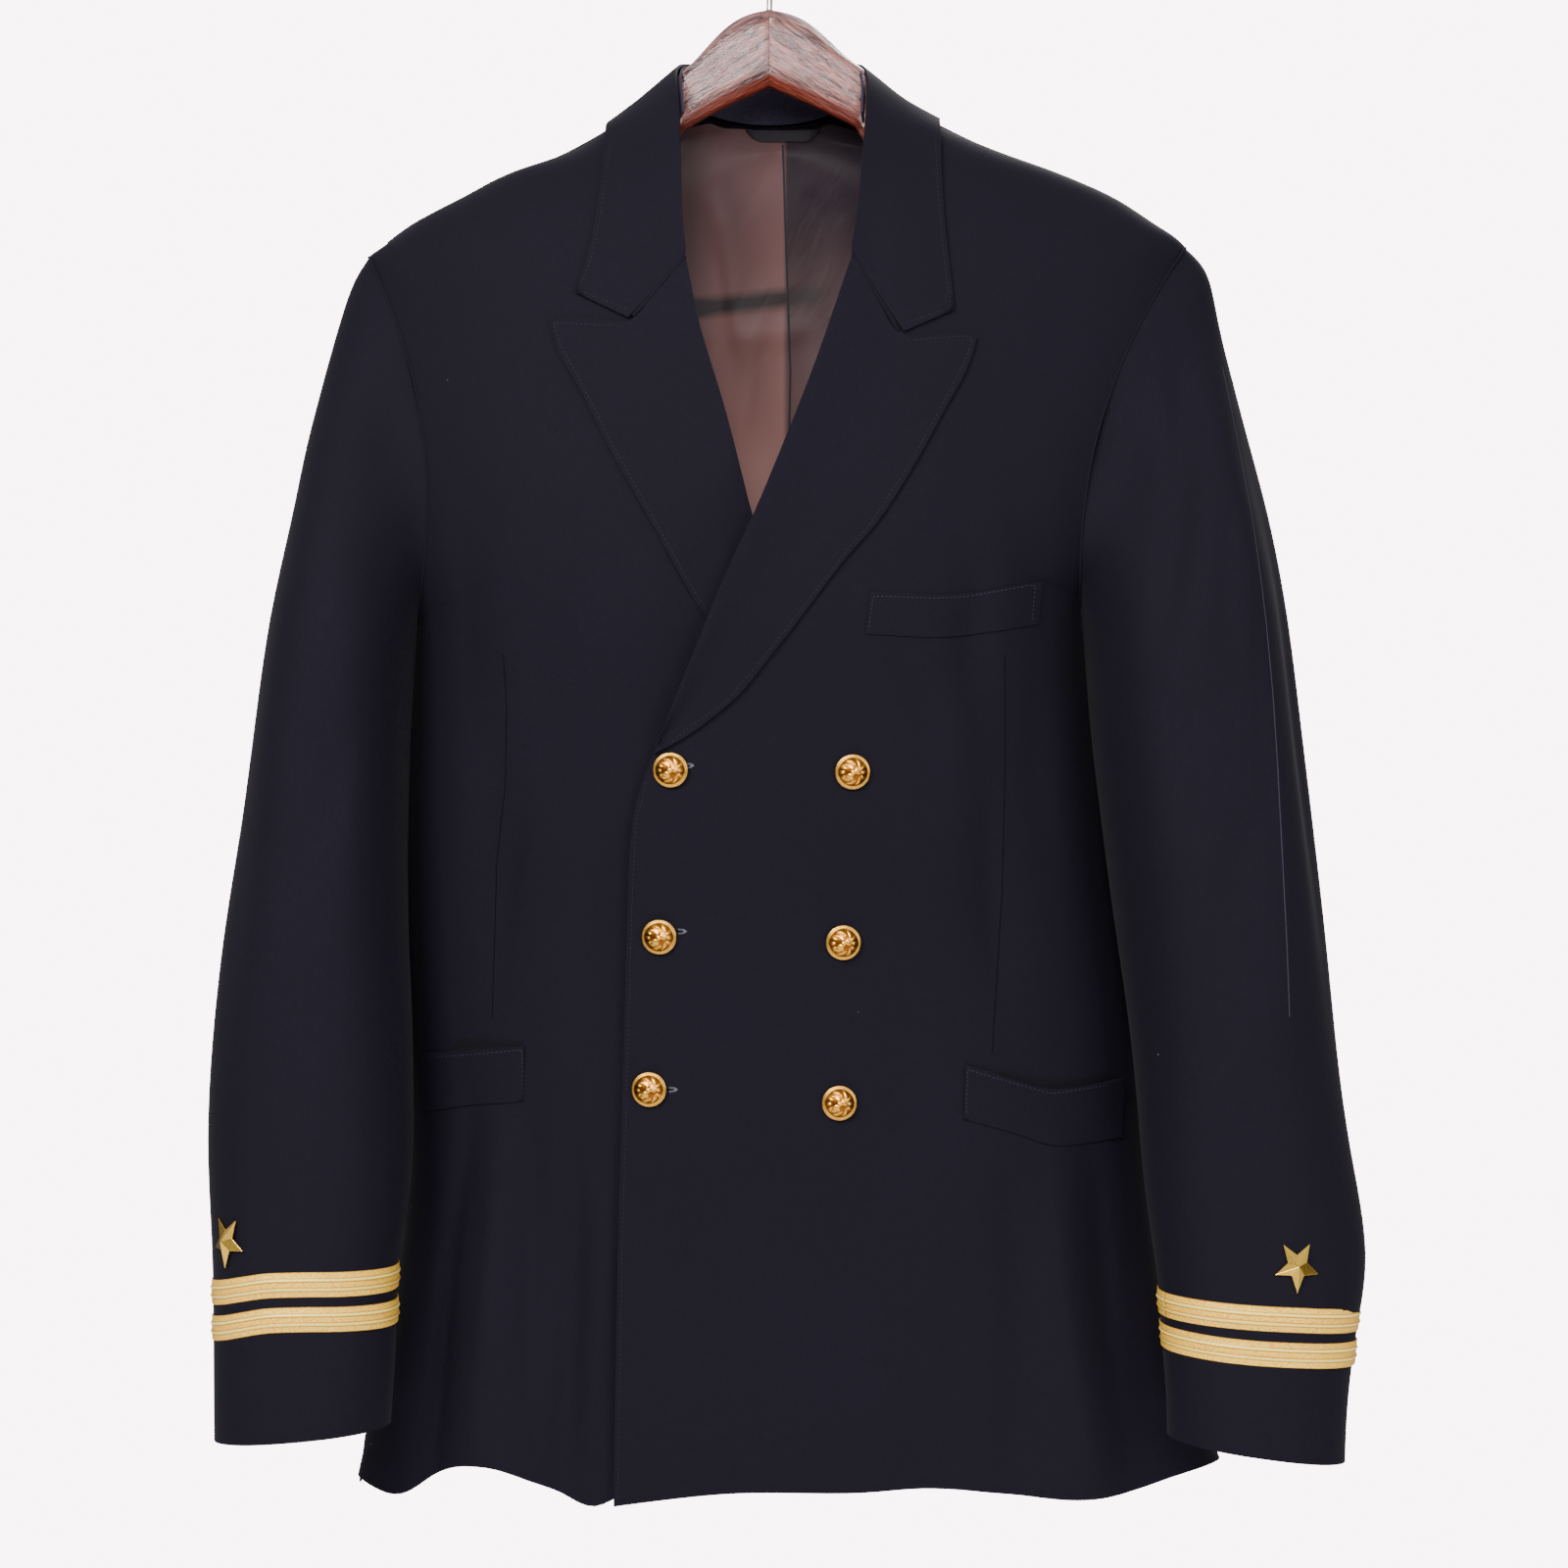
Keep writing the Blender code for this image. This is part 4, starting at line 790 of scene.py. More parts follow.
# %% Two halves of the hanger
JOINT = 0.00001
ARCH_WIDER = (10.0, 16.0)     # millimetres at the foot of the arch, right and left
for side, wood, keep in (("right", right_wood, -1), ("left", left_wood, 1)):
    shape = fine_copy("hanger", 2, keep_angle=28)
    for vertex in shape.verts:
        x, z = vertex.co.x / MM, vertex.co.z / MM
        wider = ARCH_WIDER[x > 0] * math.exp(-((z + 103) / 14) ** 2)
        vertex.co.x += math.copysign(wider * MM * min(abs(x) / 44, 1) ** 2, x)
    bmesh.ops.bisect_plane(shape, geom=shape.verts[:] + shape.edges[:] + shape.faces[:], dist=0.000001,
                           plane_co=(JOINT * keep, 0, 0), plane_no=(-keep, 0, 0), clear_outer=True)
    open_edges = [edge for edge in shape.edges if edge.is_boundary]
    closed = bmesh.ops.holes_fill(shape, edges=open_edges)
    rim = [edge for face in closed["faces"] for edge in face.edges]
    bmesh.ops.bevel(shape, geom=rim, offset=0.0002, segments=2, profile=0.5, affect="EDGES", material=-1)
    made["hanger_" + side] = finish_piece("hanger_" + side + "_half", shape, wood, ("hanger",))
    print("hanger", side, len(made["hanger_" + side].data.polygons), "faces")

# %% Hook
HOOK_RADIUS = 0.0016
CROWN = 0.0216
hook_route = [(0.0, -0.062), (0.0, -0.0545), (0.0008, -0.0495), (0.0035, -0.0455), (0.0075, -0.0423)]
for degrees in range(-52, 201, 6):
    turn = math.radians(degrees)
    hook_route.append((CROWN * math.cos(turn), -0.020 + CROWN * math.sin(turn)))
hook_curve = bpy.data.curves.new("steel_hook", "CURVE")
hook_curve.dimensions = "3D"
hook_line = hook_curve.splines.new("NURBS")
hook_line.points.add(len(hook_route) - 1)
for point, (x, z) in zip(hook_line.points, hook_route):
    point.co = (x, 0, z, 1)
hook_line.use_endpoint_u = True
hook_line.order_u = 4
hook_line.resolution_u = 3
hook_curve.bevel_depth = HOOK_RADIUS
hook_curve.bevel_resolution = 6
hook_curve.use_fill_caps = True
hook_curve.materials.append(steel)
hook = link(bpy.data.objects.new("steel_hook", hook_curve))
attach(hook, "root")
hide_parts("hanger_hook")

# %% [markdown]
# ## Gold lace
#
# The lace is woven with two smooth ridges in a grained band. Its solid gives the upper and lower edge
# loops round the cuff. A grid is laid between them, smooth all round, and its rows are raised to the
# section of the weave. The grid's own UV map runs along and across, for the thread pattern.

# %% Lace rings
LACE_SECTION = (
    # share of the width, height over the band in millimetres
    (0.0, -0.5), (0.03, 0.0), (0.26, 0.12), (0.30, 0.55), (0.34, 0.75), (0.38, 0.55), (0.42, 0.1),
    (0.50, 0.18), (0.58, 0.1), (0.62, 0.55), (0.66, 0.75), (0.70, 0.55), (0.74, 0.12), (0.97, 0.0), (1.0, -0.5),
)
LACE_STEPS = 192
LACE_SINK = 1.75      # the woven lace is thinner than its solid, and lies this much closer


def outer_loop(node, upper):
    """Points of a lace's upper or lower outer edge, in order round the cuff."""
    shape = cage_of(node)
    shape.normal_update()
    middle = Vector((0, 0, 0))
    for vertex in shape.verts:
        middle += vertex.co / len(shape.verts)
    rim = set()
    for face in shape.faces:
        if (face.normal.z > 0.6) == upper and abs(face.normal.z) > 0.6:
            rim.update(face.verts)
    points = sorted((vertex.co.copy() for vertex in rim),
                    key=lambda point: math.atan2(point.y - middle.y, point.x - middle.x))
    shape.free()
    outer = []
    for first, second in zip(points[0::2], points[1::2]):
        flat = [(point - middle).xy.length for point in (first, second)]
        outer.append(first if flat[0] > flat[1] else second)
    return outer, middle


def round_curve(points, share):
    """A smooth closed curve through points."""
    count = len(points)
    place = share * count
    i = int(place) % count
    u = place - int(place)
    a, b, c, d = (points[(i + k - 1) % count] for k in range(4))
    return 0.5 * (2 * b + (c - a) * u + (2 * a - 5 * b + 4 * c - d) * u * u + (3 * b - a - 3 * c + d) * u ** 3)


for node in ("lace_left_upper", "lace_left_lower", "lace_right_upper", "lace_right_lower"):
    upper, middle = outer_loop(node, True)
    lower, _ = outer_loop(node, False)
    shape = bmesh.new()
    rows = len(LACE_SECTION)
    lace_map = shape.loops.layers.uv.new("UVMap")
    bmesh.ops.create_grid(shape, x_segments=LACE_STEPS, y_segments=rows - 1, size=1)
    shape.verts.ensure_lookup_table()
    shape.verts.index_update()
    for face in shape.faces:
        for corner in face.loops:
            row, column = divmod(corner.vert.index, LACE_STEPS + 1)
            corner[lace_map].uv = (column / LACE_STEPS, LACE_SECTION[row][0])
    for row, (share, height) in enumerate(LACE_SECTION):
        for column in range(LACE_STEPS + 1):
            turn = column / LACE_STEPS
            top, foot = round_curve(upper, turn), round_curve(lower, turn)
            point = foot.lerp(top, 1 - share)
            away = Vector((point.x - middle.x, point.y - middle.y, 0)).normalized()
            ripple = 0.05 * noise.noise(Vector((turn * 60, share * 3, middle.x * 40)))
            shape.verts[row * (LACE_STEPS + 1) + column].co = point + away * (height + ripple - LACE_SINK) * MM
    bmesh.ops.remove_doubles(shape, verts=shape.verts, dist=0.000002)
    bmesh.ops.recalc_face_normals(shape, faces=shape.faces)
    piece = finish_piece("gold_" + node, shape, lace_gold, (node,))
    wall = piece.modifiers.new("wall", "SOLIDIFY")
    wall.thickness = 0.0006
    wall.offset = -1
    made[node] = piece
    print(node, len(upper), len(lower), "edge points,", len(piece.data.polygons), "faces")

# %% [markdown]
# ## Stars
#
# Each star is a small faceted pressing of gold over the lace, one ray down. Its solid has the facets;
# a fine bevel on its ridges is what lets them glint.

# %% Stars with fine ridges
STAR_RISE = 2.7     # millimetres
STAR_NARROWED = 0.87


def raise_star(shape):
    """Makes a star's facets steeper, by a move along its own axis that grows towards its middle."""
    points = np.array([vertex.co for vertex in shape.verts])
    middle = points.mean(axis=0)
    axis = np.linalg.svd(points - middle)[2][2]
    axis = axis if axis[1] < 0 else -axis
    height = (points - middle) @ axis
    for vertex, share in zip(shape.verts, (height - height.min()) / np.ptp(height)):
        vertex.co += Vector(axis) * float(share) ** 2 * STAR_RISE * MM
        vertex.co.x = middle[0] + (vertex.co.x - middle[0]) * STAR_NARROWED


for node in ("star_left", "star_right"):
    shape = cage_of(node)
    raise_star(shape)
    shape.normal_update()
    ridges = [edge for edge in shape.edges if edge.calc_face_angle() > math.radians(12)]
    bmesh.ops.bevel(shape, geom=ridges, offset=0.00018, segments=2, profile=0.5, affect="EDGES", material=-1,
                    clamp_overlap=True)
    made[node] = finish_piece("gold_" + node, shape, star_gold, (node,), smooth=False)

# %% [markdown]
# ## Buttons
#
# The buttons are domed, gilt and 19 mm across, with a thin plain rim. A polar grid makes one, and a
# relief is raised on it: a rosette of five petals between two sprays of leaves. The height of the
# relief is kept with the mesh, so that the material can darken the hollows: painted shade.

# %% One button
BUTTON_SECTION = (
    # radius, height in millimetres
    (0.0, 6.0), (1.2, 5.97), (2.5, 5.8), (3.9, 5.42), (5.2, 4.85), (6.3, 4.15), (7.2, 3.35), (7.9, 2.75),
    (8.2, 2.65), (8.6, 2.75), (9.0, 2.6), (9.3, 2.1), (9.35, 1.4), (8.9, 0.5), (7.6, 0.0), (0.0, 0.0),
)
BUTTON_RINGS = 44
BUTTON_SPOKES = 96


def relief_at(radius, turn):
    """Height of the relief in millimetres at a place on the dome, and its share of the full height."""
    petals = max(0.0, math.cos(2.5 * turn)) ** 0.6 * math.exp(-((radius - 2.3) / 1.05) ** 2)
    heart = math.exp(-(radius / 0.85) ** 4)
    side = abs(math.remainder(turn - math.pi / 2, math.tau))
    spray = min(max((side - 0.5) / 0.25, 0), 1) * min(max((2.75 - side) / 0.25, 0), 1)
    leaf = max(0.0, math.cos(8.5 * side + 1.7 * (radius - 5.6))) ** 0.7
    leaves = spray * leaf * math.exp(-((radius - 5.7) / 1.15) ** 4)
    buds = (1 - spray) * max(0.0, math.cos(14 * side)) * math.exp(-((radius - 5.6) / 0.8) ** 2)
    share = max(petals, heart, leaves, buds)
    rim = min(max((radius - 7.5) / 0.35, 0), 1)
    return 0.42 * share * (1 - rim), max(share, rim)


def button_form():
    """A button at the origin, facing +Z, in millimetres, with its relief as a vertex attribute."""
    shape = bmesh.new()
    relief = shape.verts.layers.float.new("relief")
    radii = [row[0] for row in BUTTON_SECTION]
    marks = np.interp(np.linspace(0, 1, BUTTON_RINGS + 1), (0, 0.72, 0.86, 1), (0, 8, 12.2, 15))
    rows = []
    for mark in marks:
        radius = float(np.interp(mark, range(16), radii))
        height = float(np.interp(mark, range(16), [row[1] for row in BUTTON_SECTION]))
        row = []
        for spoke in range(BUTTON_SPOKES):
            turn = math.tau * spoke / BUTTON_SPOKES
            lift, share = relief_at(radius, turn) if mark < 8 else (0.0, 1.0)
            place = (radius * math.cos(turn), radius * math.sin(turn), height + lift)
            vertex = shape.verts.new(place)
            vertex[relief] = share
            row.append(vertex)
        rows.append(row)
    for inner, outer in zip(rows, rows[1:]):
        for spoke in range(BUTTON_SPOKES):
            after = (spoke + 1) % BUTTON_SPOKES
            shape.faces.new((inner[spoke], outer[spoke], outer[after], inner[after]))
    bmesh.ops.remove_doubles(shape, verts=shape.verts, dist=0.001)
    bmesh.ops.recalc_face_normals(shape, faces=shape.faces)
    return shape


# %% Six buttons in their places
for node in ("button_a1", "button_a2", "button_a3", "button_b1", "button_b2", "button_b3"):
    points = np.array([vertex.co for vertex in nodes[node].data.vertices])
    middle = points.mean(axis=0)
    axis = Vector(np.linalg.svd(points - middle)[2][2])
    if axis.y > 0:
        axis = -axis
    low = min(float(Vector(point - middle).dot(axis)) for point in points)
    seat = Vector(middle) + axis * low
    seat.y -= MM * float(body_rise(np.array([seat.x / MM]), np.array([seat.z / MM]), "front")[0])
    shape = button_form()
    upright = axis.to_track_quat("Z", "X").to_matrix().to_4x4()
    bmesh.ops.transform(shape, verts=shape.verts,
                        matrix=Matrix.Translation(seat) @ upright @ Matrix.Diagonal((MM, MM, MM, 1)))
    made[node] = finish_piece("gilt_" + node, shape, gilt, (node,))
print("a button has", len(made["button_a1"].data.polygons), "faces")

# %% [markdown]
# ## Sewing
#
# The edges of the lapels, the collar, the front and the welts are stitched by hand about 2 mm in.
# Each stitch is a tiny long bead, laid on the cloth by a ray cast on to the finished pieces, so that
# it follows every crease.

# %% The cloth as one surface to sew on
outside = bmesh.new()
for node in ("front_left", "front_right", "back", "lapel_left", "lapel_right", "breast_welt",
             "pocket_welt_left", "pocket_welt_right", "collar", "top_sleeve_left", "top_sleeve_right"):
    outside.from_mesh(made[node].data)
cloth_tree = BVHTree.FromBMesh(outside)
outside.free()


def on_cloth(x, z, lift=0.0, way=1):
    """The point of the cloth at a place seen from the front, or from behind with way -1."""
    start = Vector((x * MM, -0.4 * way, z * MM))
    hit, normal, _, _ = cloth_tree.ray_cast(start, Vector((0, way, 0)))
    if hit is None:
        return None, None
    if normal.y * way > 0:
        normal = -normal
    return hit + normal * lift * MM, normal


def inset(points, distance):
    """A line beside a line, to its right if the distance is positive, as x and z."""
    points = [np.array(point, float) for point in points]
    moved = []
    for i, point in enumerate(points):
        before, after = points[max(i - 1, 0)], points[min(i + 1, len(points) - 1)]
        run = (after - before) / np.linalg.norm(after - before)
        moved.append(point + np.array([run[1], -run[0]]) * distance)
    return moved


def spaced(points, pitch):
    """Places along a line, one pitch apart."""
    points = [np.array(point, float) for point in points]
    along = np.concatenate([[0], np.cumsum([np.linalg.norm(b - a) for a, b in zip(points, points[1:])])])
    count = max(int(along[-1] / pitch), 2)
    marks = np.linspace(0, along[-1], count)
    return [np.array([np.interp(mark, along, [p[k] for p in points]) for k in range(2)]) for mark in marks]


def bead(shape, matrix):
    """Adds one small bead to a shape."""
    bmesh.ops.create_uvsphere(shape, u_segments=6, v_segments=4, radius=1, matrix=matrix)


def sew(shape, points, pitch, length, width, way=1):
    """Adds a row of stitches to a shape."""
    places = spaced(points, pitch)
    count = 0
    for here, there in zip(places, places[1:]):
        start, normal = on_cloth(*here, 0.05, way)
        end, _ = on_cloth(*there, 0.05, way)
        if start is None or end is None or (end - start).length > 3 * pitch * MM:
            continue
        run = (end - start).normalized()
        side = normal.cross(run).normalized()
        turn = Matrix((run, side, normal)).transposed().to_4x4()
        size = Matrix.Diagonal((length * MM / 2, width * MM / 2, width * MM * 0.35, 1))
        bead(shape, Matrix.Translation((start + end) / 2) @ turn @ size)
        count += 1
    return count


# %% Seam rolls
def roll_along(curve_data, points, radius, closed=False):
    """Adds one line to a curve that has a round section."""
    line = curve_data.splines.new("POLY")
    line.points.add(len(points) - 1)
    for point, place in zip(line.points, points):
        point.co = (*place, 1)
        point.radius = radius
    line.use_cyclic_u = closed


def smoothed(points, times):
    """A line of points drawn towards their neighbours, with its two ends kept."""
    line = np.array(points)
    for _ in range(times):
        line[1:-1] = (line[:-2] + line[2:] + 2 * line[1:-1]) / 4
    return line.tolist()


rolls = bpy.data.curves.new("seam_rolls", "CURVE")
rolls.dimensions = "3D"
rolls.bevel_depth = MM
rolls.bevel_resolution = 3
rolls.use_fill_caps = True
for side in ("right", "left"):
    way = ARMHOLES[side][5]
    ring = []
    for degrees in range(0, 360, 5):
        x, z = armhole_point(side, degrees)
        front = degrees <= 180
        hit, _ = on_cloth(x - way * 1.5, z, -0.9, 1 if front else -1)
        share = min(abs(math.sin(math.radians(degrees))) / 0.16, 1)
        y = (hit.y if hit is not None else 0) * share
        inward = (1 - share) * 0.9
        ring.append(((x + way * (0.12 - inward * 0.6)) * MM, y, (z - inward) * MM))
    roll_along(rolls, ring, 0.8, closed=True)
GORGES = (
    # x, z and radius of the roll that fills the seam between collar and lapel
    ((-43.5, -204.3, 0.9), (-46, -207, 1.0), (-52, -213.6, 1.2), (-60, -223, 1.7),
     (-68, -232, 1.8), (-71, -235.5, 1.2)),
    ((43.5, -203, 0.9), (46, -207.2, 1.0), (52, -217.6, 1.2), (60, -230, 2.4),
     (65, -238, 2.4), (68, -243.5, 1.2)),
)
for gorge in GORGES:
    roll_along(rolls, [(x * MM, (-66.9 + radius) * MM, z * MM) for x, z, radius in gorge], 1)
    for point, (_, _, radius) in zip(rolls.splines[-1].points, gorge):
        point.radius = radius
back_points = points_of(made["back"].data.vertices)
for way in (-1, 1):
    side_line = []
    for z in range(-404, -862, -12):
        near = back_points[np.abs(back_points[:, 2] - z) < 7]
        spot = near[np.argmax(near[:, 0] * way)]
        side_line.append(((spot[0] - way * 0.9) * MM, (spot[1] - 0.4) * MM, z * MM))
    roll_along(rolls, side_line, 0.7)
    shoulder = []
    for x in range(56, 209, 6):
        near = back_points[(np.abs(back_points[:, 0] - way * x) < 6) & (back_points[:, 1] < 12)]
        spot = near[np.argmax(near[:, 2])]
        shoulder.append((way * x * MM, (spot[1] - 0.4) * MM, (spot[2] - 1.2) * MM))
    roll_along(rolls, smoothed(shoulder, 6), 0.95)
for side in ("right", "left"):
    heights, middles, _ = [np.array(column)[::-1] for column in zip(*SLEEVE_AXIS[side])]
    edges = [points_of(made[f"{name}_{side}"].data.vertices) for name in ("top_sleeve", "under_sleeve")]
    for way in (-1, 1):
        seam, widest = [], 0
        for z in range(-860, -330, 10):
            middle = np.interp(z, heights, middles)
            upper, lower = [edge[(np.abs(edge[:, 2] - z) < 5) & ((edge[:, 0] - middle) * way > 0)] for edge in edges]
            if not len(upper) or not len(lower):
                continue
            far = np.linalg.norm(upper[:, None] - lower[None], axis=2)
            if far.min() > 4:
                continue
            i, j = np.unravel_index(far.argmin(), far.shape)
            seam.append((upper[i] + lower[j]) / 2 * MM)
            widest = max(widest, far.min())
        roll_along(rolls, smoothed(seam, 2), 0.7)
        print(side, "sleeve seam of", len(seam), "points, gap up to", round(widest, 2), "mm")
rolls.materials.append(wool)
seam_rolls = link(bpy.data.objects.new("seam_rolls", rolls))
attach(seam_rolls, "root")
print(len(rolls.splines), "seam rolls")

# %% Edge stitching
LEFT_LAPEL_EDGE = ((71, -246.5), (103.5, -243.7), (108.6, -246.3), (104.6, -260), (93, -282), (76, -313),
                   (54, -347), (43, -359), (16, -394), (-3.4, -418.6), (-21, -439), (-38.6, -451), (-49.4, -460))
RIGHT_LAPEL_EDGE = ((-75, -238.6), (-92.6, -237.6), (-114.2, -236.8), (-111, -251), (-100, -271), (-83, -305),
                    (-61.4, -343.5), (-43, -377), (-31.6, -395.4))
COLLAR_LEFT_EDGE = ((72, -241.5), (96.9, -232), (95, -214), (92.5, -190), (91, -165), (90.5, -147), (90.2, -137))
COLLAR_RIGHT_EDGE = ((-75, -234), (-101.3, -222.8), (-95.5, -205), (-90.5, -180), (-88, -158), (-86.5, -141))
FRONT_EDGE = ((-66, -478), (-71.8, -500), (-74, -540), (-77, -633), (-80, -735), (-82.3, -858))
COLLAR_BACK_EDGE = ((83.5, -127.5), (79, -130), (65, -132), (38, -132.5), (0, -133), (-38, -132.5),
                    (-65, -132), (-79, -130), (-83.5, -127.5))
rows = (
    (LEFT_LAPEL_EDGE, 2.2, 1),
    (RIGHT_LAPEL_EDGE, -2.2, 1),
    (COLLAR_LEFT_EDGE, -2.2, 1),
    (COLLAR_RIGHT_EDGE, 2.2, 1),
    (FRONT_EDGE, -2.2, 1),
    (COLLAR_BACK_EDGE, 2.2, -1),
)
shape = bmesh.new()
total = 0
for line, distance, way in rows:
    total += sew(shape, inset(line, distance), 2.4, 1.5, 0.34, way)
finish_piece("edge_stitching", shape, navy_thread)
print(total, "stitches along the edges")

# %% Welt stitching
WELT_LINES = (
    ((51.9, -399), (54.2, -382.3), (85.7, -383.2), (102.6, -382.2), (140.3, -375.2), (138.6, -394)),
    ((-130.2, -645), (-130.6, -620.6), (-170.6, -625.2), (-178, -626)),
    ((104.3, -654), (104.8, -630.6), (119.9, -635.4), (149.8, -644.2), (180, -641)),
)
shape = bmesh.new()
total = sum(sew(shape, line, 2.2, 1.3, 0.36) for line in WELT_LINES)
finish_piece("welt_stitching", shape, welt_thread)
print(total, "stitches on the welts")

# %% [markdown]
# ## Buttonholes
#
# Each button of the edge row goes through a worked hole, and the end of the hole shows beside the
# button. A worked hole is a slit with thread wound round its edge: one dark slit and a ring of small
# cross stitches.

# %% Three buttonholes
HOLES = ((-43.5, -470.5, 7.5), (-48.0, -557.5, 8.5), (-53.0, -641.0, 8.5))
slit_shape = bmesh.new()
thread_shape = bmesh.new()
end_shape = bmesh.new()
for x, z, length in HOLES:
    seat, normal = on_cloth(x, z, 0.06)
    run = Vector((1, 0, 0.04)).normalized()
    side = normal.cross(run).normalized()
    run = side.cross(normal).normalized()
    turn = Matrix.Translation(seat) @ Matrix((run, side, normal)).transposed().to_4x4()
    bmesh.ops.create_uvsphere(slit_shape, u_segments=24, v_segments=6, radius=1,
                              matrix=turn @ Matrix.Diagonal((length / 2 * MM, 0.75 * MM, 0.12 * MM, 1)))
    for step in range(40):
        angle = math.tau * step / 40
        lie = Matrix.Translation((length / 2 * MM * math.cos(angle), 1.0 * MM * math.sin(angle), 0))
        slant = Matrix.Rotation(math.pi / 2 if abs(math.cos(angle)) < 0.93 else angle, 4, "Z")
        at_end = math.cos(angle) > 0.15
        bead(end_shape if at_end else thread_shape,
             turn @ lie @ slant @ Matrix.Diagonal((0.8 * MM, 0.2 * MM, 0.28 * MM, 1)))
finish_piece("buttonhole_slits", slit_shape, pocket_dark)
finish_piece("buttonhole_thread", thread_shape, navy_thread)
finish_piece("buttonhole_ends", end_shape, grey_thread)

# %% [markdown]
# ## Seams, and painted shade in the pocket mouths
#
# Darts, the centre seam of the back and the seam of the lining are pressed flat, and show only as a
# thin line. A narrow ribbon, laid a hair above the cloth, draws each of them.


# %% Thin seam ribbons
def ribbon(shape, points, width, lift, way=1, place=on_cloth):
    """Adds a thin ribbon along a line on the cloth to a shape."""
    before = len(shape.verts)
    spots = spaced(points, 4.0)
    bmesh.ops.create_grid(shape, x_segments=1, y_segments=len(spots) - 1, size=1)
    shape.verts.ensure_lookup_table()
    missed = []
    for i, spot in enumerate(spots):
        run = spots[min(i + 1, len(spots) - 1)] - spots[max(i - 1, 0)]
        run = run / np.linalg.norm(run)
        for k, aside in enumerate((-width / 2, width / 2)):
            at = spot + np.array([run[1], -run[0]]) * aside
            hit, _ = place(*at, lift, way)
            if hit is None:
                missed.append(shape.verts[before + i * 2 + k])
            else:
                shape.verts[before + i * 2 + k].co = hit
    bmesh.ops.delete(shape, geom=missed, context="VERTS")


shape = bmesh.new()
ribbon(shape, ((-139.5, -412), (-138, -440), (-139, -480), (-144, -520), (-147, -604)), 0.35, 0.05)
ribbon(shape, ((124, -412), (124.5, -470), (123, -540), (118, -622)), 0.35, 0.05)
ribbon(shape, ((0, -136), (0, -300), (1, -500), (0, -850)), 0.8, 0.06, -1)
finish_piece("pressed_seams", shape, pocket_dark)
# A lighter ribbon along the left sleeve's pressed edge is a painted highlight on the crease.
shape = bmesh.new()
ribbon(shape, [(x, z) for z, x in PRESSED_EDGE[::-1]], 0.5, 0.05)
finish_piece("pressed_edge_highlight", shape, welt_thread)

# %% Painted shade in the pocket mouths
def between(shape, upper, lower, lift):
    """Adds a patch on the cloth between two lines to a shape."""
    steps = 16
    tops, feet = spaced(upper, 1), spaced(lower, 1)
    tops = [tops[round(i * (len(tops) - 1) / steps)] for i in range(steps + 1)]
    feet = [feet[round(i * (len(feet) - 1) / steps)] for i in range(steps + 1)]
    before = len(shape.verts)
    bmesh.ops.create_grid(shape, x_segments=steps, y_segments=3, size=1)
    shape.verts.ensure_lookup_table()
    for row in range(4):
        for column in range(steps + 1):
            spot = tops[column] * (1 - row / 3) + feet[column] * row / 3
            hit, _ = on_cloth(*spot, lift)
            shape.verts[before + row * (steps + 1) + column].co = hit


# A darker wool patch above each welt is painted shade where the pocket mouth gapes.
shape = bmesh.new()
between(shape, ((-170, -622.2), (-164, -615.0), (-150, -614.8), (-130, -616.8)),
        ((-170, -623.4), (-150, -621.6), (-130, -619.4)), 0.12)
between(shape, ((122, -632.0), (136, -634.4), (151.7, -636.2), (167.5, -636.2), (184, -634.6)),
        ((122, -634.0), (136, -638.0), (149.8, -641.0), (167, -640.3), (184, -637.4)), 0.12)
finish_piece("pocket_mouth_painted_shade", shape, painted_mouth_shade)

# %% Lining seam
lining_tree = BVHTree.FromPolygons([vertex.co for vertex in made["back_lining"].data.vertices],
                                   [face.vertices for face in made["back_lining"].data.polygons])


def on_lining(x, z, lift=0.0, way=1):
    """The point of the lining's inner side at a place."""
    hit, normal, _, _ = lining_tree.ray_cast(Vector((x * MM, -0.02, z * MM)), Vector((0, 1, 0)))
    if hit is None:
        return None, None
    return hit + Vector((0, -lift * MM, 0)), normal


shape = bmesh.new()
ribbon(shape, ((7.2, -127), (9, -180), (11.5, -250), (10.5, -300), (12, -390)), 1.1, 0.15, 1, on_lining)
finish_piece("lining_seam", shape, dark_tape)

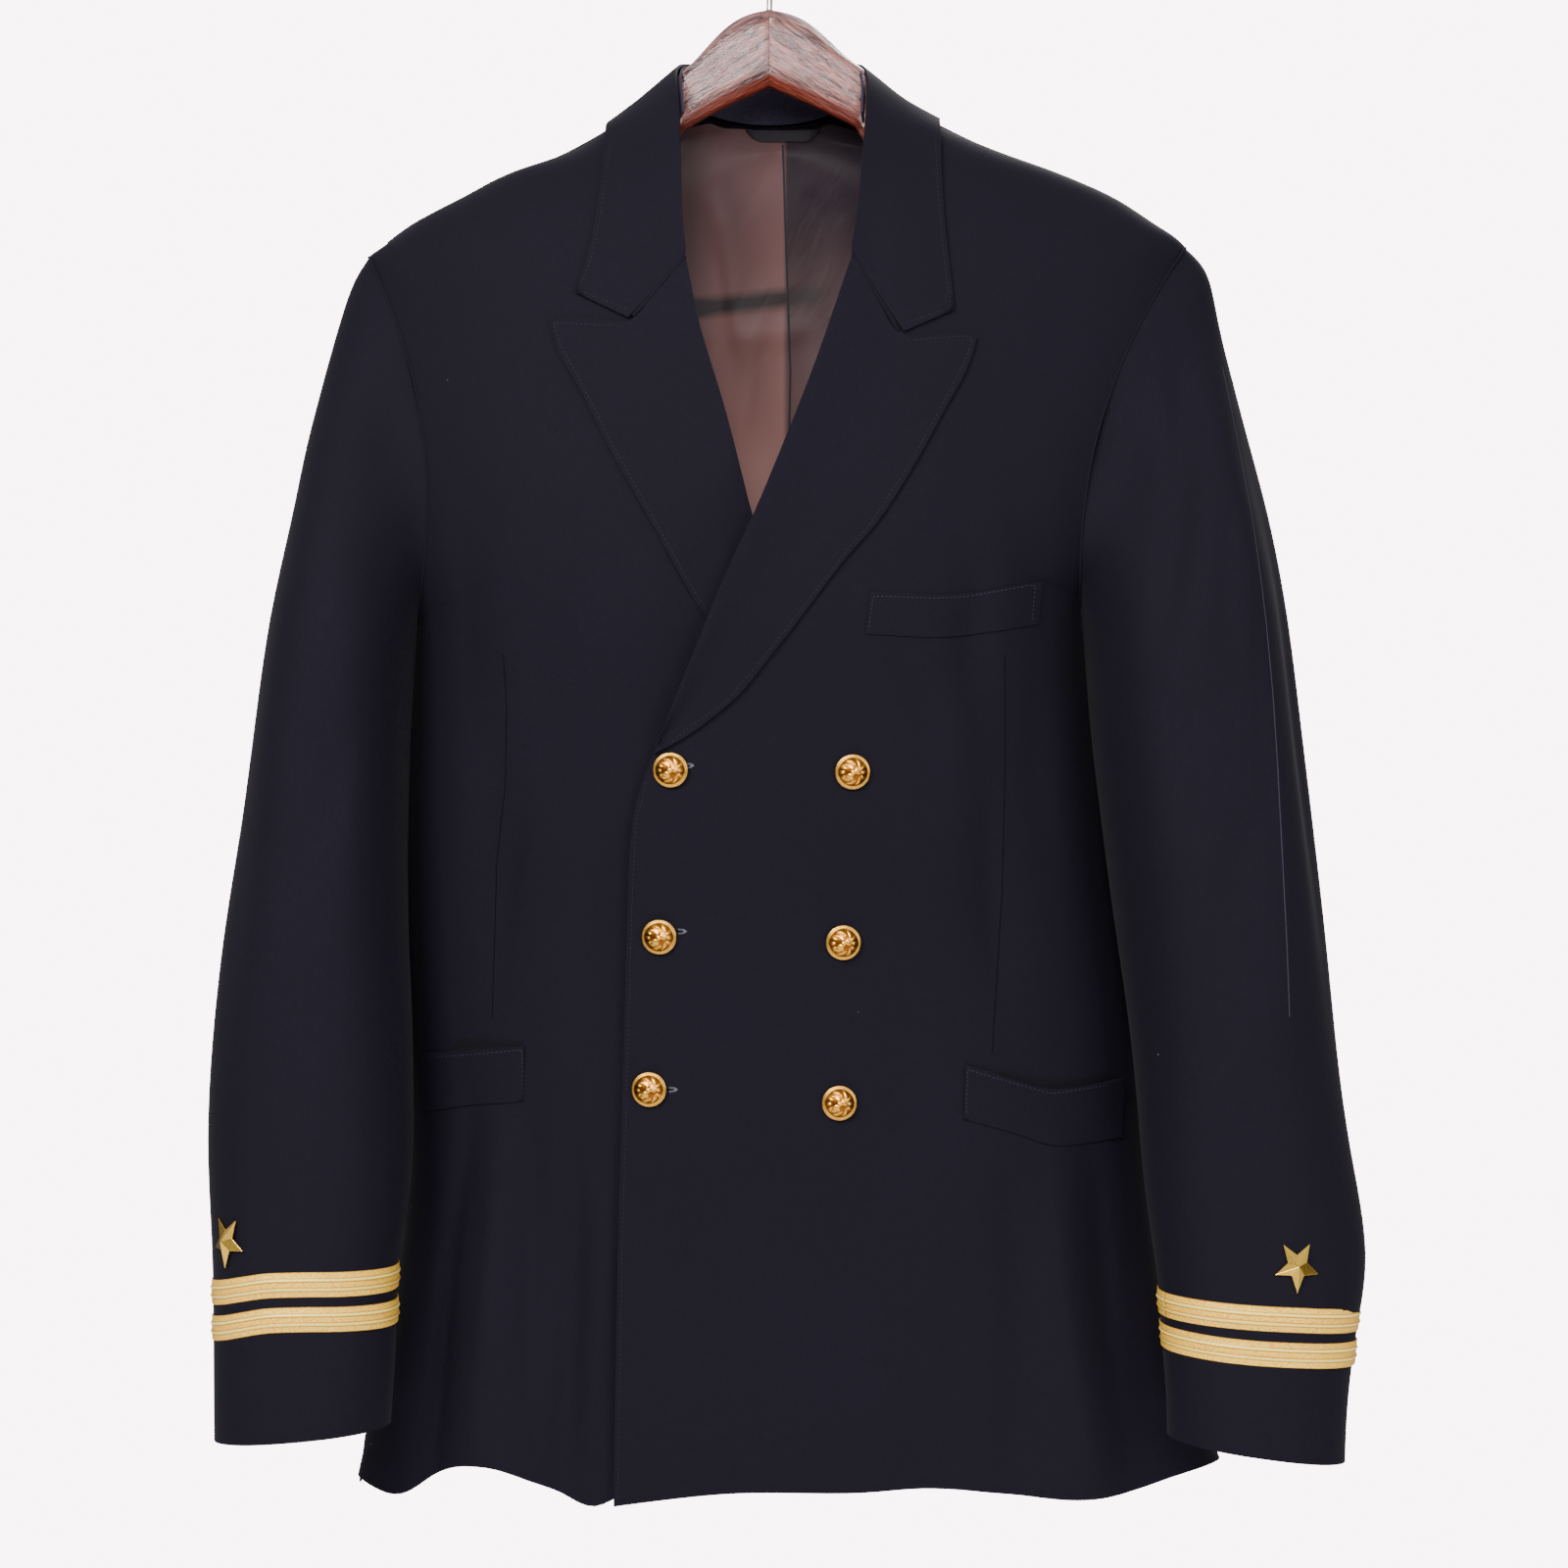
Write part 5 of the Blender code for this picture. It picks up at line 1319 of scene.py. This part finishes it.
# %% Hanging loop
loop_shape = fine_copy("hanger_loop", 3)
LOOP_MIDDLE, LOOP_STRAIGHT, LOOP_CORNER = 7.4, 12.5, 8.5
loop_low = min(vertex.co.z for vertex in loop_shape.verts) / MM
loop_high = max(vertex.co.z for vertex in loop_shape.verts) / MM
for vertex in loop_shape.verts:
    past = min(max(abs(vertex.co.x / MM - LOOP_MIDDLE) - LOOP_STRAIGHT, 0) / LOOP_CORNER, 1)
    low = (loop_high - vertex.co.z / MM) / (loop_high - loop_low)
    vertex.co.z += MM * low * 5.5 * past ** 1.6
loop_tree = BVHTree.FromBMesh(loop_shape)
stitches = bmesh.new()
for step in range(15):
    x = LOOP_MIDDLE + (step - 7) * 2.4
    hit, _, _, _ = loop_tree.ray_cast(Vector((x * MM, -0.02, (loop_low * 0.45 + loop_high * 0.55) * MM)),
                                      Vector((0, 1, 0)))
    if hit is not None:
        bead(stitches, Matrix.Translation(hit) @ Matrix.Diagonal((0.8 * MM, 0.15 * MM, 0.2 * MM, 1)))
finish_piece("loop_stitching", stitches, welt_thread)
made["hanger_loop"] = finish_piece("tape_hanging_loop", loop_shape, dark_tape, ("hanger_loop",))

# %% [markdown]
# ## Sizes of the cloth
#
# The finished model must stay the size of the imported one. The area of one side of each cloth piece is printed,
# with its share of the rectangle of its cut.

# %% Sizes of the cloth pieces
SHEETS = (
    # piece, width and length of its cut in metres, area of the cut
    ("front_left", 0.36, 0.76, 0.1917),
    ("front_right", 0.35, 0.76, 0.1874),
    ("back", 0.50, 0.76, 0.3218),
    ("lapel_left", 0.080, 0.281, 0.0139),
    ("lapel_right", 0.080, 0.277, 0.0132),
    ("collar", 0.42, 0.09, 0.0244),
    ("collar_stand", 0.24, 0.035, 0.0046),
    ("back_lining", 0.33, 0.29, 0.0809),
    ("top_sleeve_left", 0.25, 0.66, 0.151),
    ("top_sleeve_right", 0.25, 0.66, 0.1374),
    ("under_sleeve_left", 0.16, 0.60, 0.0559),
    ("under_sleeve_right", 0.16, 0.60, 0.0484),
    ("breast_welt", 0.100, 0.024, 0.0022),
    ("pocket_welt_left", 0.100, 0.031, 0.0029),
    ("pocket_welt_right", 0.068, 0.031, 0.002),
    ("hanger_loop", 0.043, 0.0100, 0.00026),
    ("lace_left_upper", 0.0127, 0.343, None),
    ("lace_left_lower", 0.0127, 0.328, None),
    ("lace_right_upper", 0.0127, 0.332, None),
    ("lace_right_lower", 0.0127, 0.324, None),
)
for name, width, length, area in SHEETS:
    one_side = cloth_area(made[name]) * (2 if made[name].modifiers.get("wall") else 1)
    print(name, "one side", round(one_side, 4), "m2, cut", round(one_side / (width * length), 3), "of its rectangle")
